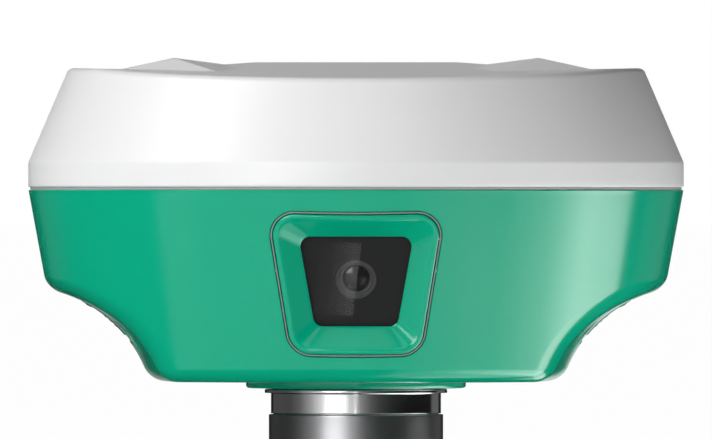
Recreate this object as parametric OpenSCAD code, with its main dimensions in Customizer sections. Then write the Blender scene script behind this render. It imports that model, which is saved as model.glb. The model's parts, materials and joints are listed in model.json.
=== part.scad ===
// Survey receiver on a quick-release pole adapter.
// Origin: centre of the adapter's bottom face. +Z is up, the camera looks along -Y.

/* [Housing] */
// Radius of the housing at its seam
body_r = 79; // [79:2:81]
// Height of the green shell, from its underside to the seam
shell_h = 46.2; // [44:0.2:56]
// How much the shell's radius grows for each millimetre of height
shell_taper = 0.184; // [0.12:0.004:0.2]
// Wall of the shell and of the cover
wall = 2.5; // [1.8:0.1:3]
// Thickness of the shell's floor
floor_t = 3; // [2.4:0.1:4]
// Bevel round the shell's bottom edge
shell_bevel = 2.4; // [1:0.2:3]
// Thickness of the gasket in the seam
gasket_t = 0.7; // [0.5:0.1:1.5]
// How far the gasket's edge lies inside the housing's skin
gasket_inset = 0.5; // [0.2:0.1:1]

/* [Cover] */
// Height of the upright band at the cover's foot
skirt_h = 6.2; // [4:0.2:9]
// How much the cover's radius shrinks for each millimetre above that band
cover_taper = 0.4286; // [0.3:0.01:0.5]
// Height of the cover's middle above the seam
crest_h = 30.5; // [28:0.5:38]
// Fall of the cover's top for each millimetre towards the front or the back
roof_fall = 0.065; // [0.06:0.005:0.07]
// Fall of the cover's top at its left and right rim
crown_drop = 1.5; // [1.3:0.1:1.7]
// Height of the four raised corners above the seam
wing_h = 31.3; // [30.7:0.1:31.5]

/* [Side scoops] */
// Radius of the hollow in each side
scoop_r = 31.9; // [26:0.5:36]
// How far the hollow's centre lies outside the seam's radius
scoop_out = 1.3; // [0:0.1:6]
// Depth of the hollow's centre under the seam
scoop_depth = 55.65; // [52:0.5:64]
// Radius of the hollow's path in plan
scoop_path_r = 374; // [250:10:600]

/* [Port flaps] */
// Width of a flap
flap_w = 42; // [34:1:46]
// Thickness of a flap
flap_t = 1.6; // [1.2:0.1:2.2]
// Angle on the hollow at which a flap's free edge lies, from straight up
flap_top_angle = 26; // [24:1:30]
// Angle on the hollow at which a flap's hinge lies, from straight up
flap_hinge_angle = 54; // [50:1:58]
// Gap round a flap
flap_gap = 0.35; // [0.3:0.05:0.6]
// Diameter of a flap's hinge pin
hinge_pin_d = 1.2; // [1:0.1:1.6]

/* [Camera] */
// Depth of the camera's axis under the seam
camera_depth = 22.9; // [21:0.1:23.5]
// Half width between the hood's two upper corner centres
hood_top_x = 14.35; // [13:0.05:15]
// Half width between the hood's two lower corner centres
hood_bottom_x = 10.65; // [9.5:0.05:11.5]
// Half height between the hood's corner centres
hood_y = 11.45; // [10.5:0.05:12]
// Radius of the hood's corners
hood_corner_r = 5.35; // [5:0.05:6]
// Width of the hood's flat lip
hood_lip = 1.2; // [1.1:0.05:1.5]
// How far the hood stands proud of the shell
hood_proud = 0.5; // [0:0.1:1]
// Depth from the shell's skin to the window's face
window_recess = 4.3; // [3.5:0.1:5]
// Half width between the window's upper corner centres
window_top_x = 10.85; // [9:0.05:11]
// Half width between the window's lower corner centres
window_bottom_x = 7.85; // [6.5:0.05:9]
// Half height between the window's corner centres
window_y = 8.5; // [7:0.05:8.7]
// Radius of the window's corners
window_corner_r = 2.4; // [1.5:0.1:3]
// Thickness of the window
window_t = 1.6; // [1:0.1:2]
// Diameter of the lens barrel
lens_d = 9.7; // [8:0.1:11]

/* [Control panel] */
// Half width between the panel's corner centres
panel_x = 14.5; // [14:0.5:18]
// Half height between the panel's corner centres
panel_y = 5.5; // [5.5:0.5:8]
// Radius of the panel's corners
panel_corner_r = 5; // [4:0.5:5.5]
// Diameter of the power button
button_d = 11; // [9:0.5:12]
// Travel of the power button
button_travel = 0.6; // [0.4:0.1:1]

/* [Pole adapter] */
// Diameter of the disc under the shell
disc_d = 53; // [50:1:58]
// Thickness of the disc under the shell
disc_t = 1.9; // [1.5:0.1:3]
// Diameter of the adapter head's flange
flange_d = 44; // [43:0.5:47]
// Thickness of the flange
flange_t = 1; // [0.8:0.1:1.6]
// Diameter of the head below its flange
neck_d = 41; // [40:0.5:42]
// Height of the head, from the groove to the flange's face
head_h = 6.1; // [5:0.1:8]
// Diameter of the sleeve
sleeve_d = 42; // [41:0.5:46]
// Length of the sleeve
sleeve_h = 33.9; // [30:0.5:44]
// Height of the groove between the head and the sleeve
groove_t = 0.6; // [0.4:0.1:1.2]
// Diameter of the spigot inside the sleeve
spigot_d = 24; // [22:0.5:26]
// Minor diameter of the 5/8 inch thread in the sleeve
thread_minor_d = 13.6; // [13.4:0.05:13.8]
// Major diameter of the 5/8 inch stud
stud_d = 15.8; // [15.7:0.05:15.875]
// Length of the stud above the flange
stud_l = 14; // [12:0.5:15]
// Travel of the latch button
latch_travel = 2.2; // [1.8:0.1:2.4]

/* [Inside] */
// Diameter of a battery cell
cell_d = 18.4; // [18:0.1:19]
// Length of a battery cell
cell_l = 65; // [60:1:68]
// Radius of the circle that the four housing screws lie on
screw_circle_r = 63; // [62.5:0.5:66]
// Diameter of the upper antenna patch
upper_patch_d = 48; // [36:2:60]
// Diameter of the lower antenna patch
lower_patch_d = 84; // [70:2:96]

/* [Hidden] */
$fn = 96;

eps = 0.02;
seat_gap = 0.05;
arc_steps = 8;
fit_gap = 0.15;

// Heights above the adapter's bottom face
flange_z = sleeve_h + head_h;
shell_z = flange_z + disc_t;
floor_z = shell_z + floor_t;
seam_z = shell_z + shell_h;
skirt_z = seam_z + skirt_h;
crest_z = seam_z + crest_h;

// Round body
shell_angle = atan(shell_taper);
shell_foot_r = body_r - shell_taper * shell_h;
cover_rim_r = body_r - cover_taper * (crest_h + 2 - skirt_h);
crest_flat = 9;
crown_steps = 8;
seam_bevel = 0.45;

// Scoops and flaps
scoop_x = body_r + scoop_out;
flap_proud = 0.3;
flap_seat_r = scoop_r + flap_t + 0.3;
flap_foot_angle = flap_hinge_angle - 3.5;
pocket_top_angle = flap_top_angle - 1;
hinge_r = scoop_r + hinge_pin_d / 2 + 1;
knuckle_r = hinge_pin_d / 2 + 0.65;
knuckle_l = 7;
knuckle_y = flap_w / 2 - 6.5;
pocket_back_t = 2.4;
port_gap = 0.2;
seat_depth = flap_seat_r - scoop_r;
// The three sockets behind the flaps: [place across the flap, width, height]
usb_place = [-9, 9.4, 3.6];
card_place = [9, 13.4, 3];
data_d = 11.6;
port_angle = 39;
port_depth = 6;

// Hood
hood_pad_z = -4.6;
hood_flange_t = 1.8;
hood_flange_grow = 3.4;
hood_back_z = hood_pad_z - hood_flange_t;
hood_seal_t = 0.75;
hood_screw_d = 2;
lens_front_z = hood_back_z - 1.2;
mask_t = 2;
barrel_l = 9;

// Panel
panel_depth = 19;
panel_pad_z = -4.6;
panel_flange_t = 1.6;
panel_flange_grow = 3;
panel_back_z = panel_pad_z - panel_flange_t;
button_proud = 0.9;
light_d = 1.8;
light_pitch = 5;
light_y = 7.2;

// Housing screws
post_r = 4.4;
screw_hole_d = 3.4;
screw_head_d = 5.6;
screw_head_h = 2.6;
screw_d = 3;
screw_seat_z = seam_z - 12;
screw_angles = [30, 150, 210, 330];
cover_boss_h = 12;

// Mount disc
hub_d = 25;
hub_h = 17;
insert_d = 20;
disc_screw_r = 19.5;
disc_stud_d = 7;
m2_d = 2.5;
m2_head_d = 4.6;
m2_head_h = 1.8;

// Underside: radio antenna socket, vent and loudspeaker holes
radio_y = 46;
radio_d = 10;
vent_y = -40;
vent_d = 8;
speaker_y = -52;
speaker_holes = [for (i = [-2:2], j = [0:1]) [i * 3, speaker_y + j * 3]];

// Inside
cell_x = hub_d / 2 + cell_d / 2 + 2;
cell_z = floor_z + 1 + cell_d / 2;
cradle_w = cell_d + 3;
chassis_t = 2.2;
chassis_z = max(floor_z + cell_d + 2.4, seam_z - 22.4);
chassis_top_z = chassis_z + chassis_t;
chassis_r = 57;
antenna_post = [49.5, 19];
chassis_flat_x = antenna_post.x + 4;
chassis_flat_y = 47;
chassis_post = [max(40, cell_x + cradle_w / 2 + 3.8), 35];
board_gap = 2.6;
board_t = 1.6;
board_z = chassis_top_z + board_gap;
board_top_z = board_z + board_t;
board_post = [30, 37];
antenna_z = max(seam_z - 3, board_top_z + 13);
antenna_t = 2.4;
antenna_r = 57;
amplifier_t = 1.6;
amplifier_can_h = 4;
can_h = 3.6;
patch_t = 7;
patch_top_z = antenna_z + antenna_t + amplifier_t + 2 * patch_t;

// Adapter
socket_floor_z = 12;
spigot_end_z = socket_floor_z + 1;
lock_z = 19;
lock_t = 4;
lock_r = spigot_d / 2 + 3.1;
lock_room_r = lock_r + latch_travel + 0.2;
lock_bore_r = spigot_d / 2 + 0.2;
spigot_neck_r = spigot_d / 2 - latch_travel - 0.3;
button_w = 14;
button_reach = 3;
base_step_z = 8;

// --- Shapes used by more than one part ---

// Points of an arc round a centre
function arc(centre, r, from, to) = [
    for (i = [0:arc_steps])
        let (a = from + (to - from) * i / arc_steps)
            centre + r * [cos(a), sin(a)]
];

// Four rounded corners joined by straight sides; the upper pair may lie wider than the lower pair
module four_corner(top_x, bottom_x, half_y, r) {
    lean = atan((top_x - bottom_x) / (2 * half_y));
    polygon(concat(
        arc([top_x, half_y], r, -lean, 90),
        arc([-top_x, half_y], r, 90, 180 + lean),
        arc([-bottom_x, -half_y], r, 180 + lean, 270),
        arc([bottom_x, -half_y], r, 270, 360 - lean)
    ));
}

module hood_outline(grow) {
    four_corner(hood_top_x, hood_bottom_x, hood_y, hood_corner_r + grow);
}

module window_outline(grow) {
    four_corner(window_top_x, window_bottom_x, window_y, window_corner_r + grow);
}

module panel_outline(grow) {
    four_corner(panel_x, panel_x, panel_y, panel_corner_r + grow);
}

// Places its children on the shell's skin, facing outwards: at the front, or turned to the back
module on_skin(depth, turn = 0) {
    rotate([0, 0, turn])
        translate([0, -(body_r - shell_taper * depth), seam_z - depth])
            rotate([90 + shell_angle, 0, 0])
                children();
}

// Y and Z of a point at the front, so far up along the skin and so far out of it
function skin_point(depth, up, out) = [
    -(body_r - shell_taper * depth) - up * sin(shell_angle) - out * cos(shell_angle),
    seam_z - depth + up * cos(shell_angle) - out * sin(shell_angle),
];

// A slab of an outline between two heights over the skin
module slab(from, to) {
    translate([0, 0, from])
        linear_extrude(height = to - from)
            children();
}

// The round cone of the green shell, grown or shrunk; it runs on past the seam
module shell_cone(grow, z_low, z_high) {
    rotate_extrude()
        polygon([
            [0, z_low],
            [body_r + grow - shell_taper * (seam_z - z_low), z_low],
            [body_r + grow - shell_taper * (seam_z - z_high), z_high],
            [0, z_high],
        ]);
}

// The round hollow in the side that faces +X, with its radius grown
module scoop(grow) {
    translate([scoop_x - scoop_path_r, 0, seam_z - scoop_depth])
        rotate_extrude($fn = 360)
            translate([scoop_path_r, 0])
                circle(scoop_r + grow);
}

// A curved plate that follows the scoop between two radii and two angles from straight up
module scoop_plate(r_in, r_out, angle_from, angle_to) {
    translate([scoop_x - scoop_path_r, 0, seam_z - scoop_depth])
        rotate_extrude($fn = 360)
            translate([scoop_path_r, 0])
                intersection() {
                    difference() {
                        circle(r_out);
                        circle(r_in);
                    }
                    polygon([
                        [0, 0],
                        [-60 * sin(angle_from), 60 * cos(angle_from)],
                        [-60 * sin(angle_to), 60 * cos(angle_to)],
                    ]);
                }
}

// Middle of a place on the scoop: a radius from the scoop's centre and an angle from straight up
function scoop_point(r, angle) = [
    scoop_x - r * sin(angle), 0, seam_z - scoop_depth + r * cos(angle),
];

// Children at the scoop, with +Z pointing out of the skin
module on_scoop(angle) {
    translate(scoop_point(scoop_r, angle))
        rotate([0, 180 - angle, 0])
            children();
}

// Both sides
module both_sides() {
    children();
    mirror([1, 0, 0]) children();
}

// Four places, one in each corner
module four_places(p) {
    for (sx = [-1, 1], sy = [-1, 1])
        translate([sx * p.x, sy * p.y, 0])
            children();
}

module at_screws() {
    for (a = screw_angles)
        rotate([0, 0, a])
            translate([0, screw_circle_r, 0])
                children();
}

module column(r, z_low, z_high) {
    translate([0, 0, z_low])
        cylinder(r = r, h = z_high - z_low);
}

module block(size, z_low, z_high) {
    translate([-size.x / 2, -size.y / 2, z_low])
        cube([size.x, size.y, z_high - z_low]);
}

// A screw with its head's underside at z = 0 and its shank along -Z
module screw(d, head_d, head_h, length) {
    difference() {
        union() {
            cylinder(d = head_d, h = head_h);
            translate([0, 0, -length]) cylinder(d = d, h = length + eps);
        }
        translate([0, 0, head_h * 0.45])
            cylinder(d = head_d * 0.5, h = head_h, $fn = 6);
    }
}

// --- Housing ---

// The cover's top: it falls to the front and the back, and a little to both sides
module roof(drop) {
    reach = body_r + 10;
    top = crest_z - drop;
    intersection() {
        rotate([90, 0, 90])
            linear_extrude(height = 2 * reach, center = true)
                polygon([
                    [-reach, seam_z - 20],
                    [reach, seam_z - 20],
                    [reach, top - roof_fall * (reach - crest_flat / 2)],
                    [crest_flat, top - roof_fall * crest_flat / 2],
                    [0, top],
                    [-crest_flat, top - roof_fall * crest_flat / 2],
                    [-reach, top - roof_fall * (reach - crest_flat / 2)],
                ]);
        rotate([90, 0, 0])
            linear_extrude(height = 2 * reach, center = true)
                polygon(concat(
                    [[reach, seam_z - 20], [-reach, seam_z - 20]],
                    [for (i = [-crown_steps:crown_steps])
                        [i * reach / crown_steps, top - crown_drop * pow(i * reach / crown_steps / cover_rim_r, 2)]]
                ));
    }
}

// A raised wing on the cover's right half, with a peak towards the front and one towards the back
module wing() {
    ridge_x = 42.5;
    ridge_y = 33;
    low = crest_z - 12;
    peak = seam_z + wing_h;
    far = ridge_x + 20;
    side_z = peak - 4.6;
    inner = [30.4, 11.5, crest_z - 0.82];
    tip = [25.5, 34, crest_z - 2.42];
    foot = [31, 46.6, crest_z - 3.3];
    outer = [57.2, 36.2, crest_z - 2.6];
    points = [
        [ridge_x, -ridge_y, peak], [ridge_x, ridge_y, peak],
        [inner.x, -inner.y, inner.z], [inner.x, inner.y, inner.z],
        [tip.x, -tip.y, tip.z], [tip.x, tip.y, tip.z],
        [foot.x, -foot.y, foot.z], [foot.x, foot.y, foot.z],
        [outer.x, -outer.y, outer.z], [outer.x, outer.y, outer.z],
        [far, -8, side_z], [far, 8, side_z],
        [far, -8, low], [far, 8, low],
        [tip.x, -tip.y, low], [tip.x, tip.y, low],
        [foot.x, -foot.y, low], [foot.x, foot.y, low],
        [outer.x, -outer.y, low], [outer.x, outer.y, low],
    ];
    hull()
        polyhedron(points = points, faces = [
            [0, 2, 3, 1], [0, 4, 2], [0, 6, 4], [0, 8, 6], [0, 10, 8], [0, 1, 11, 10],
            [1, 3, 5], [1, 5, 7], [1, 7, 9], [1, 9, 11],
            [2, 4, 14, 15, 5, 3], [4, 6, 16, 14], [6, 8, 18, 16], [8, 10, 12, 18],
            [10, 11, 13, 12], [11, 9, 19, 13], [9, 7, 17, 19], [7, 5, 15, 17],
            [14, 16, 18, 12, 13, 19, 17, 15],
        ]);
}

module top_cover() {
    foot_z = seam_z + gasket_t / 2;
    top_z = crest_z + 2;
    color("white")
        difference() {
            intersection() {
                rotate_extrude()
                    polygon([
                        [0, foot_z],
                        [body_r - seam_bevel, foot_z],
                        [body_r, foot_z + seam_bevel],
                        [body_r, skirt_z],
                        [cover_rim_r, top_z],
                        [0, top_z],
                    ]);
                union() {
                    roof(0);
                    both_sides() wing();
                }
            }
            difference() {
                intersection() {
                    rotate_extrude()
                        polygon([
                            [0, foot_z - 1],
                            [body_r - wall, foot_z - 1],
                            [body_r - wall, skirt_z],
                            [cover_rim_r - wall, top_z],
                            [0, top_z],
                        ]);
                    roof(wall);
                }
                at_screws() column(post_r, foot_z - 2, crest_z + 3);
            }
            at_screws() column(screw_d / 2, foot_z - 1, foot_z + cover_boss_h);
        }
}

module seam_gasket() {
    lip_t = 1.2;
    lip_h = 2;
    lip_r = body_r - wall - fit_gap;
    low = seam_z - gasket_t / 2;
    color("dimgray")
        difference() {
            union() {
                column(body_r - gasket_inset, low, low + gasket_t);
                column(lip_r, low + eps, low + gasket_t + lip_h);
            }
            column(lip_r - lip_t, low - 1, low + gasket_t + lip_h + 1);
        }
}

module flap_pocket() {
    box_w = flap_w + 2 * flap_gap;
    hinge_rod(hinge_pin_d / 2 + 0.01, box_w + 3.2);
    intersection() {
        union() {
            scoop_plate(scoop_r - 3, flap_seat_r, pocket_top_angle, flap_hinge_angle);
            hinge_rod(knuckle_r + 0.3, box_w);
        }
        across_flap(box_w);
    }
}

module pocket_backing() {
    intersection() {
        scoop_plate(scoop_r + 1, flap_seat_r + pocket_back_t, flap_top_angle - 5, flap_hinge_angle + 5);
        across_flap(flap_w + 6);
    }
}

module lower_shell() {
    top_z = seam_z - gasket_t / 2;
    color("mediumseagreen")
        difference() {
            union() {
                difference() {
                    shell_cone(0, shell_z, top_z);
                    difference() {
                        shell_cone(-wall, floor_z, top_z + 1);
                        both_sides() scoop(wall);
                    }
                }
                at_screws() column(post_r, shell_z + eps, top_z);
                intersection() {
                    shell_cone(-wall / 2, shell_z, top_z - 0.5);
                    union() {
                        both_sides() pocket_backing();
                        on_skin(camera_depth) slab(hood_pad_z, 0) hood_outline(hood_flange_grow + 1.4);
                        on_skin(panel_depth, 180) slab(panel_pad_z, 0) panel_outline(panel_flange_grow + 1.4);
                    }
                }
                four_places(chassis_post) column(3.4, floor_z - eps, chassis_z);
            }
            // Outside hollows
            both_sides() scoop(0);
            both_sides() flap_pocket();
            rotate_extrude()
                polygon([
                    [shell_foot_r - shell_bevel, shell_z - 1],
                    [shell_foot_r - shell_bevel, shell_z],
                    [shell_foot_r + shell_taper * shell_bevel, shell_z + shell_bevel],
                    [shell_foot_r + 9, shell_z + shell_bevel],
                    [shell_foot_r + 9, shell_z - 1],
                ]);
            // Openings for the hood and the panel
            on_skin(camera_depth) {
                slab(-12, 6) hood_outline(hood_seal_t + seat_gap);
                slab(-12, hood_pad_z) hood_outline(hood_flange_grow + fit_gap);
                at_hood_screws() column(hood_screw_d / 2, hood_pad_z - 1, hood_pad_z + 2);
            }
            on_skin(panel_depth, 180) {
                slab(-12, 6) panel_outline(hood_seal_t + seat_gap);
                slab(-12, panel_pad_z) panel_outline(panel_flange_grow + fit_gap);
            }
            // Screw holes
            at_screws() {
                column(screw_hole_d / 2, shell_z - 1, seam_z + 1);
                column(screw_head_d / 2 + 0.3, shell_z - 1, screw_seat_z);
            }
            four_places(chassis_post) column(m2_d / 2, chassis_z - 9, chassis_z + 1);
            // Middle hole and the disc's studs
            column(hub_d / 2 + fit_gap, shell_z - 1, floor_z + 1);
            at_disc_screws() column(disc_stud_d / 2 + fit_gap, shell_z - 1, floor_z + 1);
            // Sockets
            on_scoop(port_angle) ports(port_gap, -port_depth - 2);
            mirror([1, 0, 0]) on_scoop(port_angle) data_port(port_gap, -port_depth - 2);
            translate([0, radio_y, 0]) column(radio_d / 2 + fit_gap, shell_z - 1, floor_z + 1);
            translate([0, vent_y, 0]) column(vent_d / 2 + fit_gap, shell_z - 1, floor_z + 1);
            for (p = speaker_holes) translate([p.x, p.y, 0]) column(0.8, shell_z - 1, floor_z + 1);
        }
}

module housing_screws() {
    color("gray")
        at_screws()
            translate([0, 0, screw_seat_z])
                rotate([180, 0, 0])
                    screw(screw_d - 0.02, screw_head_d, screw_head_h, seam_z + cover_boss_h - 3 - screw_seat_z);
}

// --- Mount disc under the shell ---

module at_disc_screws() {
    for (a = [45:90:315])
        rotate([0, 0, a])
            translate([disc_screw_r, 0, 0])
                children();
}

module mount_disc() {
    bevel = 0.7;
    color("mediumseagreen")
        difference() {
            union() {
                rotate_extrude()
                    polygon([
                        [0, flange_z],
                        [disc_d / 2 - bevel, flange_z],
                        [disc_d / 2, flange_z + bevel],
                        [disc_d / 2, shell_z],
                        [0, shell_z],
                    ]);
                column(hub_d / 2, flange_z, flange_z + hub_h);
                at_disc_screws() column(disc_stud_d / 2, flange_z + eps, floor_z);
            }
            column(insert_d / 2, flange_z - 1, flange_z + hub_h - 1.5);
            at_disc_screws() column(m2_d / 2, flange_z + 1, floor_z + 1);
        }
}

module mount_insert() {
    color("silver")
        difference() {
            column(insert_d / 2, flange_z, flange_z + hub_h - 1.5);
            column(stud_d / 2, flange_z - 1, flange_z + stud_l + 0.6);
        }
}

module disc_screws() {
    washer_d = 9;
    color("gray")
        at_disc_screws()
            translate([0, 0, floor_z]) {
                difference() {
                    cylinder(d = washer_d, h = 0.6);
                    translate([0, 0, -1]) cylinder(d = m2_d, h = 3);
                }
                translate([0, 0, 0.6]) screw(m2_d, m2_head_d, m2_head_h, 4);
            }
}

// --- Camera ---

module at_hood_screws() {
    four_places([hood_bottom_x, hood_y + hood_corner_r + hood_flange_grow / 2 + 0.3])
        children();
}

module camera_hood() {
    color("mediumseagreen")
        difference() {
            intersection() {
                on_skin(camera_depth) {
                    slab(hood_back_z, 8) hood_outline(0);
                    slab(hood_back_z, hood_pad_z) hood_outline(hood_flange_grow);
                }
                shell_cone(hood_proud, shell_z, seam_z - gasket_t);
            }
            on_skin(camera_depth) {
                hull() {
                    slab(hood_proud + 0.6, hood_proud + 0.7) hood_outline(-hood_lip + 0.6);
                    slab(-window_recess, -window_recess + 0.1) window_outline(0);
                }
                slab(-window_recess - 0.5, -window_recess + 0.05) window_outline(0);
                slab(hood_back_z - 1, -window_recess) window_outline(1.2);
                at_hood_screws() column(hood_screw_d / 2 + 0.1, hood_back_z - 1, hood_pad_z + 1);
            }
        }
}

module hood_gasket() {
    color("dimgray")
        intersection() {
            on_skin(camera_depth)
                slab(hood_pad_z, 8)
                    difference() {
                        hood_outline(hood_seal_t);
                        hood_outline(seat_gap);
                    }
            shell_cone(-0.25, shell_z, seam_z - gasket_t);
        }
}

module hood_screws() {
    color("gray")
        on_skin(camera_depth)
            at_hood_screws()
                translate([0, 0, hood_back_z])
                    rotate([180, 0, 0])
                        screw(hood_screw_d - 0.02, m2_head_d - 1, m2_head_h, hood_flange_t + 1.8);
}

module camera_window() {
    color("black", 0.6)
        on_skin(camera_depth)
            slab(-window_recess - window_t, -window_recess)
                window_outline(1.1);
}

module camera_mask() {
    back_z = hood_back_z - mask_t;
    color("black")
        on_skin(camera_depth)
            difference() {
                union() {
                    slab(back_z, hood_back_z) window_outline(2);
                    slab(hood_back_z - eps, -window_recess - window_t) window_outline(0.9);
                    slab(back_z - 3, back_z + eps) circle(lens_d / 2 + 1.8);
                    for (s = [-1, 1])
                        translate([s * 9, 0, 0])
                            slab(back_z - barrel_l + 2, back_z + eps) square([3, 8], center = true);
                }
                slab(back_z - 5, 0) circle(lens_d / 2);
                for (s = [-1, 1])
                    translate([s * 9, 0, 0])
                        column(0.8, back_z - barrel_l, back_z - 1);
            }
}

module lens_barrel() {
    color("darkslategray")
        on_skin(camera_depth)
            difference() {
                slab(lens_front_z - barrel_l, lens_front_z) circle(lens_d / 2);
                slab(lens_front_z - barrel_l - 1, lens_front_z + 1) circle(2.4);
                slab(lens_front_z - 2.4, lens_front_z + 1) circle(3.3);
                slab(lens_front_z - barrel_l - 1, lens_front_z - barrel_l + 2) circle(3);
            }
}

module lens_disc(r, t, bulge) {
    ball = (r * r + bulge * bulge) / (2 * bulge);
    union() {
        cylinder(r = r, h = t);
        intersection() {
            translate([0, 0, t + bulge - ball]) sphere(ball, $fn = 128);
            cylinder(r = r, h = t + bulge + 1);
        }
    }
}

module front_lens() {
    color("lightblue", 0.5)
        on_skin(camera_depth)
            translate([0, 0, lens_front_z - 2.4])
                lens_disc(3.3, 1.1, 0.7);
}

module rear_lens() {
    color("lightblue", 0.5)
        on_skin(camera_depth)
            slab(lens_front_z - barrel_l + 0.6, lens_front_z - barrel_l + 2) circle(3);
}

module camera_board() {
    back_z = lens_front_z - barrel_l;
    color("darkgreen")
        on_skin(camera_depth) {
            slab(back_z - 1.2, back_z) square([22, 14], center = true);
            slab(back_z - 2.6, back_z - 1.2 + eps) translate([0, -4]) square([9, 3], center = true);
        }
}

// Ribbon from the camera board's connector up and over to the main board
module camera_ribbon() {
    t = 0.3;
    width = 8;
    start = skin_point(camera_depth, -4, lens_front_z - barrel_l - 2.6);
    rise_y = start.x + 3;
    top_z = board_top_z + 1;
    end_y = -chassis_flat_y + 6;
    color("chocolate")
        rotate([90, 0, 90])
            linear_extrude(height = width, center = true)
                polygon([
                    start,
                    [rise_y, start.y],
                    [rise_y, top_z],
                    [end_y, top_z],
                    [end_y, board_top_z],
                    [end_y + t, board_top_z],
                    [end_y + t, top_z + t],
                    [rise_y - t, top_z + t],
                    [rise_y - t, start.y + t],
                    [start.x, start.y + t],
                ]);
}

// --- Control panel at the back ---

module at_lights() {
    for (i = [-1.5:1:1.5])
        translate([i * light_pitch, light_y, 0])
            children();
}

module control_panel() {
    color("black")
        difference() {
            intersection() {
                on_skin(panel_depth, 180) {
                    slab(panel_back_z, 8) panel_outline(0);
                    slab(panel_back_z, panel_pad_z) panel_outline(panel_flange_grow);
                }
                shell_cone(hood_proud, shell_z, seam_z - gasket_t);
            }
            on_skin(panel_depth, 180) {
                slab(-20, 8) circle(button_d / 2 + fit_gap);
                at_lights() column(light_d / 2, -20, 8);
            }
        }
}

module panel_seal() {
    color("dimgray")
        intersection() {
            on_skin(panel_depth, 180)
                slab(panel_pad_z, 8)
                    difference() {
                        panel_outline(hood_seal_t);
                        panel_outline(seat_gap);
                    }
            shell_cone(-0.25, shell_z, seam_z - gasket_t);
        }
}

module power_button() {
    color("orangered")
        on_skin(panel_depth, 180) {
            slab(panel_back_z + 1, button_proud) circle(button_d / 2);
            slab(panel_back_z - 0.7, panel_back_z + 1 + eps) circle(2);
        }
}

module button_switch() {
    plate_z = panel_back_z - 4;
    color("darkgreen")
        on_skin(panel_depth, 180) {
            slab(plate_z, plate_z + 1.2) square([30, 12], center = true);
            slab(plate_z + 1.2 - eps, panel_back_z - 0.7 - button_travel - 0.1) square([6, 6], center = true);
            for (s = [-1, 1])
                translate([s * 13, -3, 0]) column(1.4, plate_z + 1.2 - eps, panel_back_z);
        }
}

module light_pipes() {
    color("lightyellow")
        intersection() {
            on_skin(panel_depth, 180) {
                at_lights() column(light_d / 2, panel_back_z - 1.6, 8);
                translate([0, light_y, 0]) slab(panel_back_z - 1.6, panel_back_z) square([3.6 * light_pitch, 2.4], center = true);
            }
            shell_cone(hood_proud, shell_z, seam_z - gasket_t);
        }
}

// --- Side ports ---

// Children at both knuckles of the flap's hinge
module at_knuckles() {
    for (s = [-1, 1])
        translate([0, s * knuckle_y, 0])
            children();
}

module hinge_rod(r, length) {
    translate(scoop_point(hinge_r, flap_hinge_angle))
        rotate([90, 0, 0])
            cylinder(r = r, h = length, center = true);
}

module across_flap(width) {
    translate([0, -width / 2, 0]) cube([body_r * 2, width, seam_z]);
}

module flap() {
    difference() {
        union() {
            intersection() {
                scoop_plate(scoop_r - flap_proud, scoop_r + flap_t - flap_proud, flap_top_angle, flap_foot_angle);
                across_flap(flap_w);
            }
            at_knuckles() {
                hinge_rod(knuckle_r, knuckle_l);
                intersection() {
                    scoop_plate(hinge_r - 0.8, scoop_r + flap_t - flap_proud + 0.2, flap_foot_angle - 2, flap_hinge_angle);
                    across_flap(knuckle_l);
                }
            }
        }
        hinge_rod(hinge_pin_d / 2 + 0.04, flap_w + 2);
    }
}

module flap_pin() {
    hinge_rod(hinge_pin_d / 2, flap_w + 2 * flap_gap + 3);
}

module right_flap() {
    color("darkslategray") flap();
}

module left_flap() {
    color("darkslategray") mirror([1, 0, 0]) flap();
}

module right_flap_pin() {
    color("silver") flap_pin();
}

module left_flap_pin() {
    color("silver") mirror([1, 0, 0]) flap_pin();
}

module usb_body(grow, from, to) {
    r = usb_place[2] / 2;
    translate([0, usb_place[0], 0])
        slab(from, to)
            rotate(90) {
                square([usb_place[1] - 2 * r, 2 * (r + grow)], center = true);
                for (s = [-1, 1])
                    translate([s * (usb_place[1] / 2 - r), 0]) circle(r + grow);
            }
}

module card_body(grow, from, to) {
    translate([0, card_place[0], 0])
        slab(from, to)
            square([card_place[2] + 2 * grow, card_place[1] + 2 * grow], center = true);
}

module ports(grow, from) {
    usb_body(grow, from, 0);
    card_body(grow, from, 0);
}

module data_port(grow, from) {
    slab(from, 0) circle(data_d / 2 + grow);
}

module usb_socket() {
    color("silver")
        on_scoop(port_angle)
            difference() {
                usb_body(0, -port_depth - 2, -seat_depth - 0.4);
                usb_body(-0.35, -port_depth, 0);
            }
}

module card_socket() {
    color("black")
        on_scoop(port_angle)
            difference() {
                card_body(0, -port_depth - 2, -seat_depth - 0.4);
                translate([0, 0, 0.6]) card_body(-0.6, -3, 0);
            }
}

module data_socket() {
    color("black")
        mirror([1, 0, 0])
            on_scoop(port_angle)
                difference() {
                    data_port(0, -port_depth - 2);
                    slab(-seat_depth - 0.4, 1) circle(data_d);
                    difference() {
                        slab(-port_depth, 1) circle(data_d / 2 - 1);
                        slab(-port_depth - 1, -seat_depth - 1.2) circle(3);
                    }
                    for (a = [0:72:288])
                        rotate([0, 0, a]) translate([1.8, 0, 0]) column(0.4, -seat_depth - 3, 1);
                }
}

module radio_socket() {
    color("gold")
        translate([0, radio_y, 0])
            difference() {
                union() {
                    column(radio_d / 2, shell_z - 6, floor_z + 2);
                    column(radio_d / 2 + 2.5, floor_z, floor_z + 1.4);
                    column(radio_d / 2 + 1.4, shell_z - 1, shell_z);
                }
                column(radio_d / 2 - 1.2, shell_z - 7, shell_z);
            }
}

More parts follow.
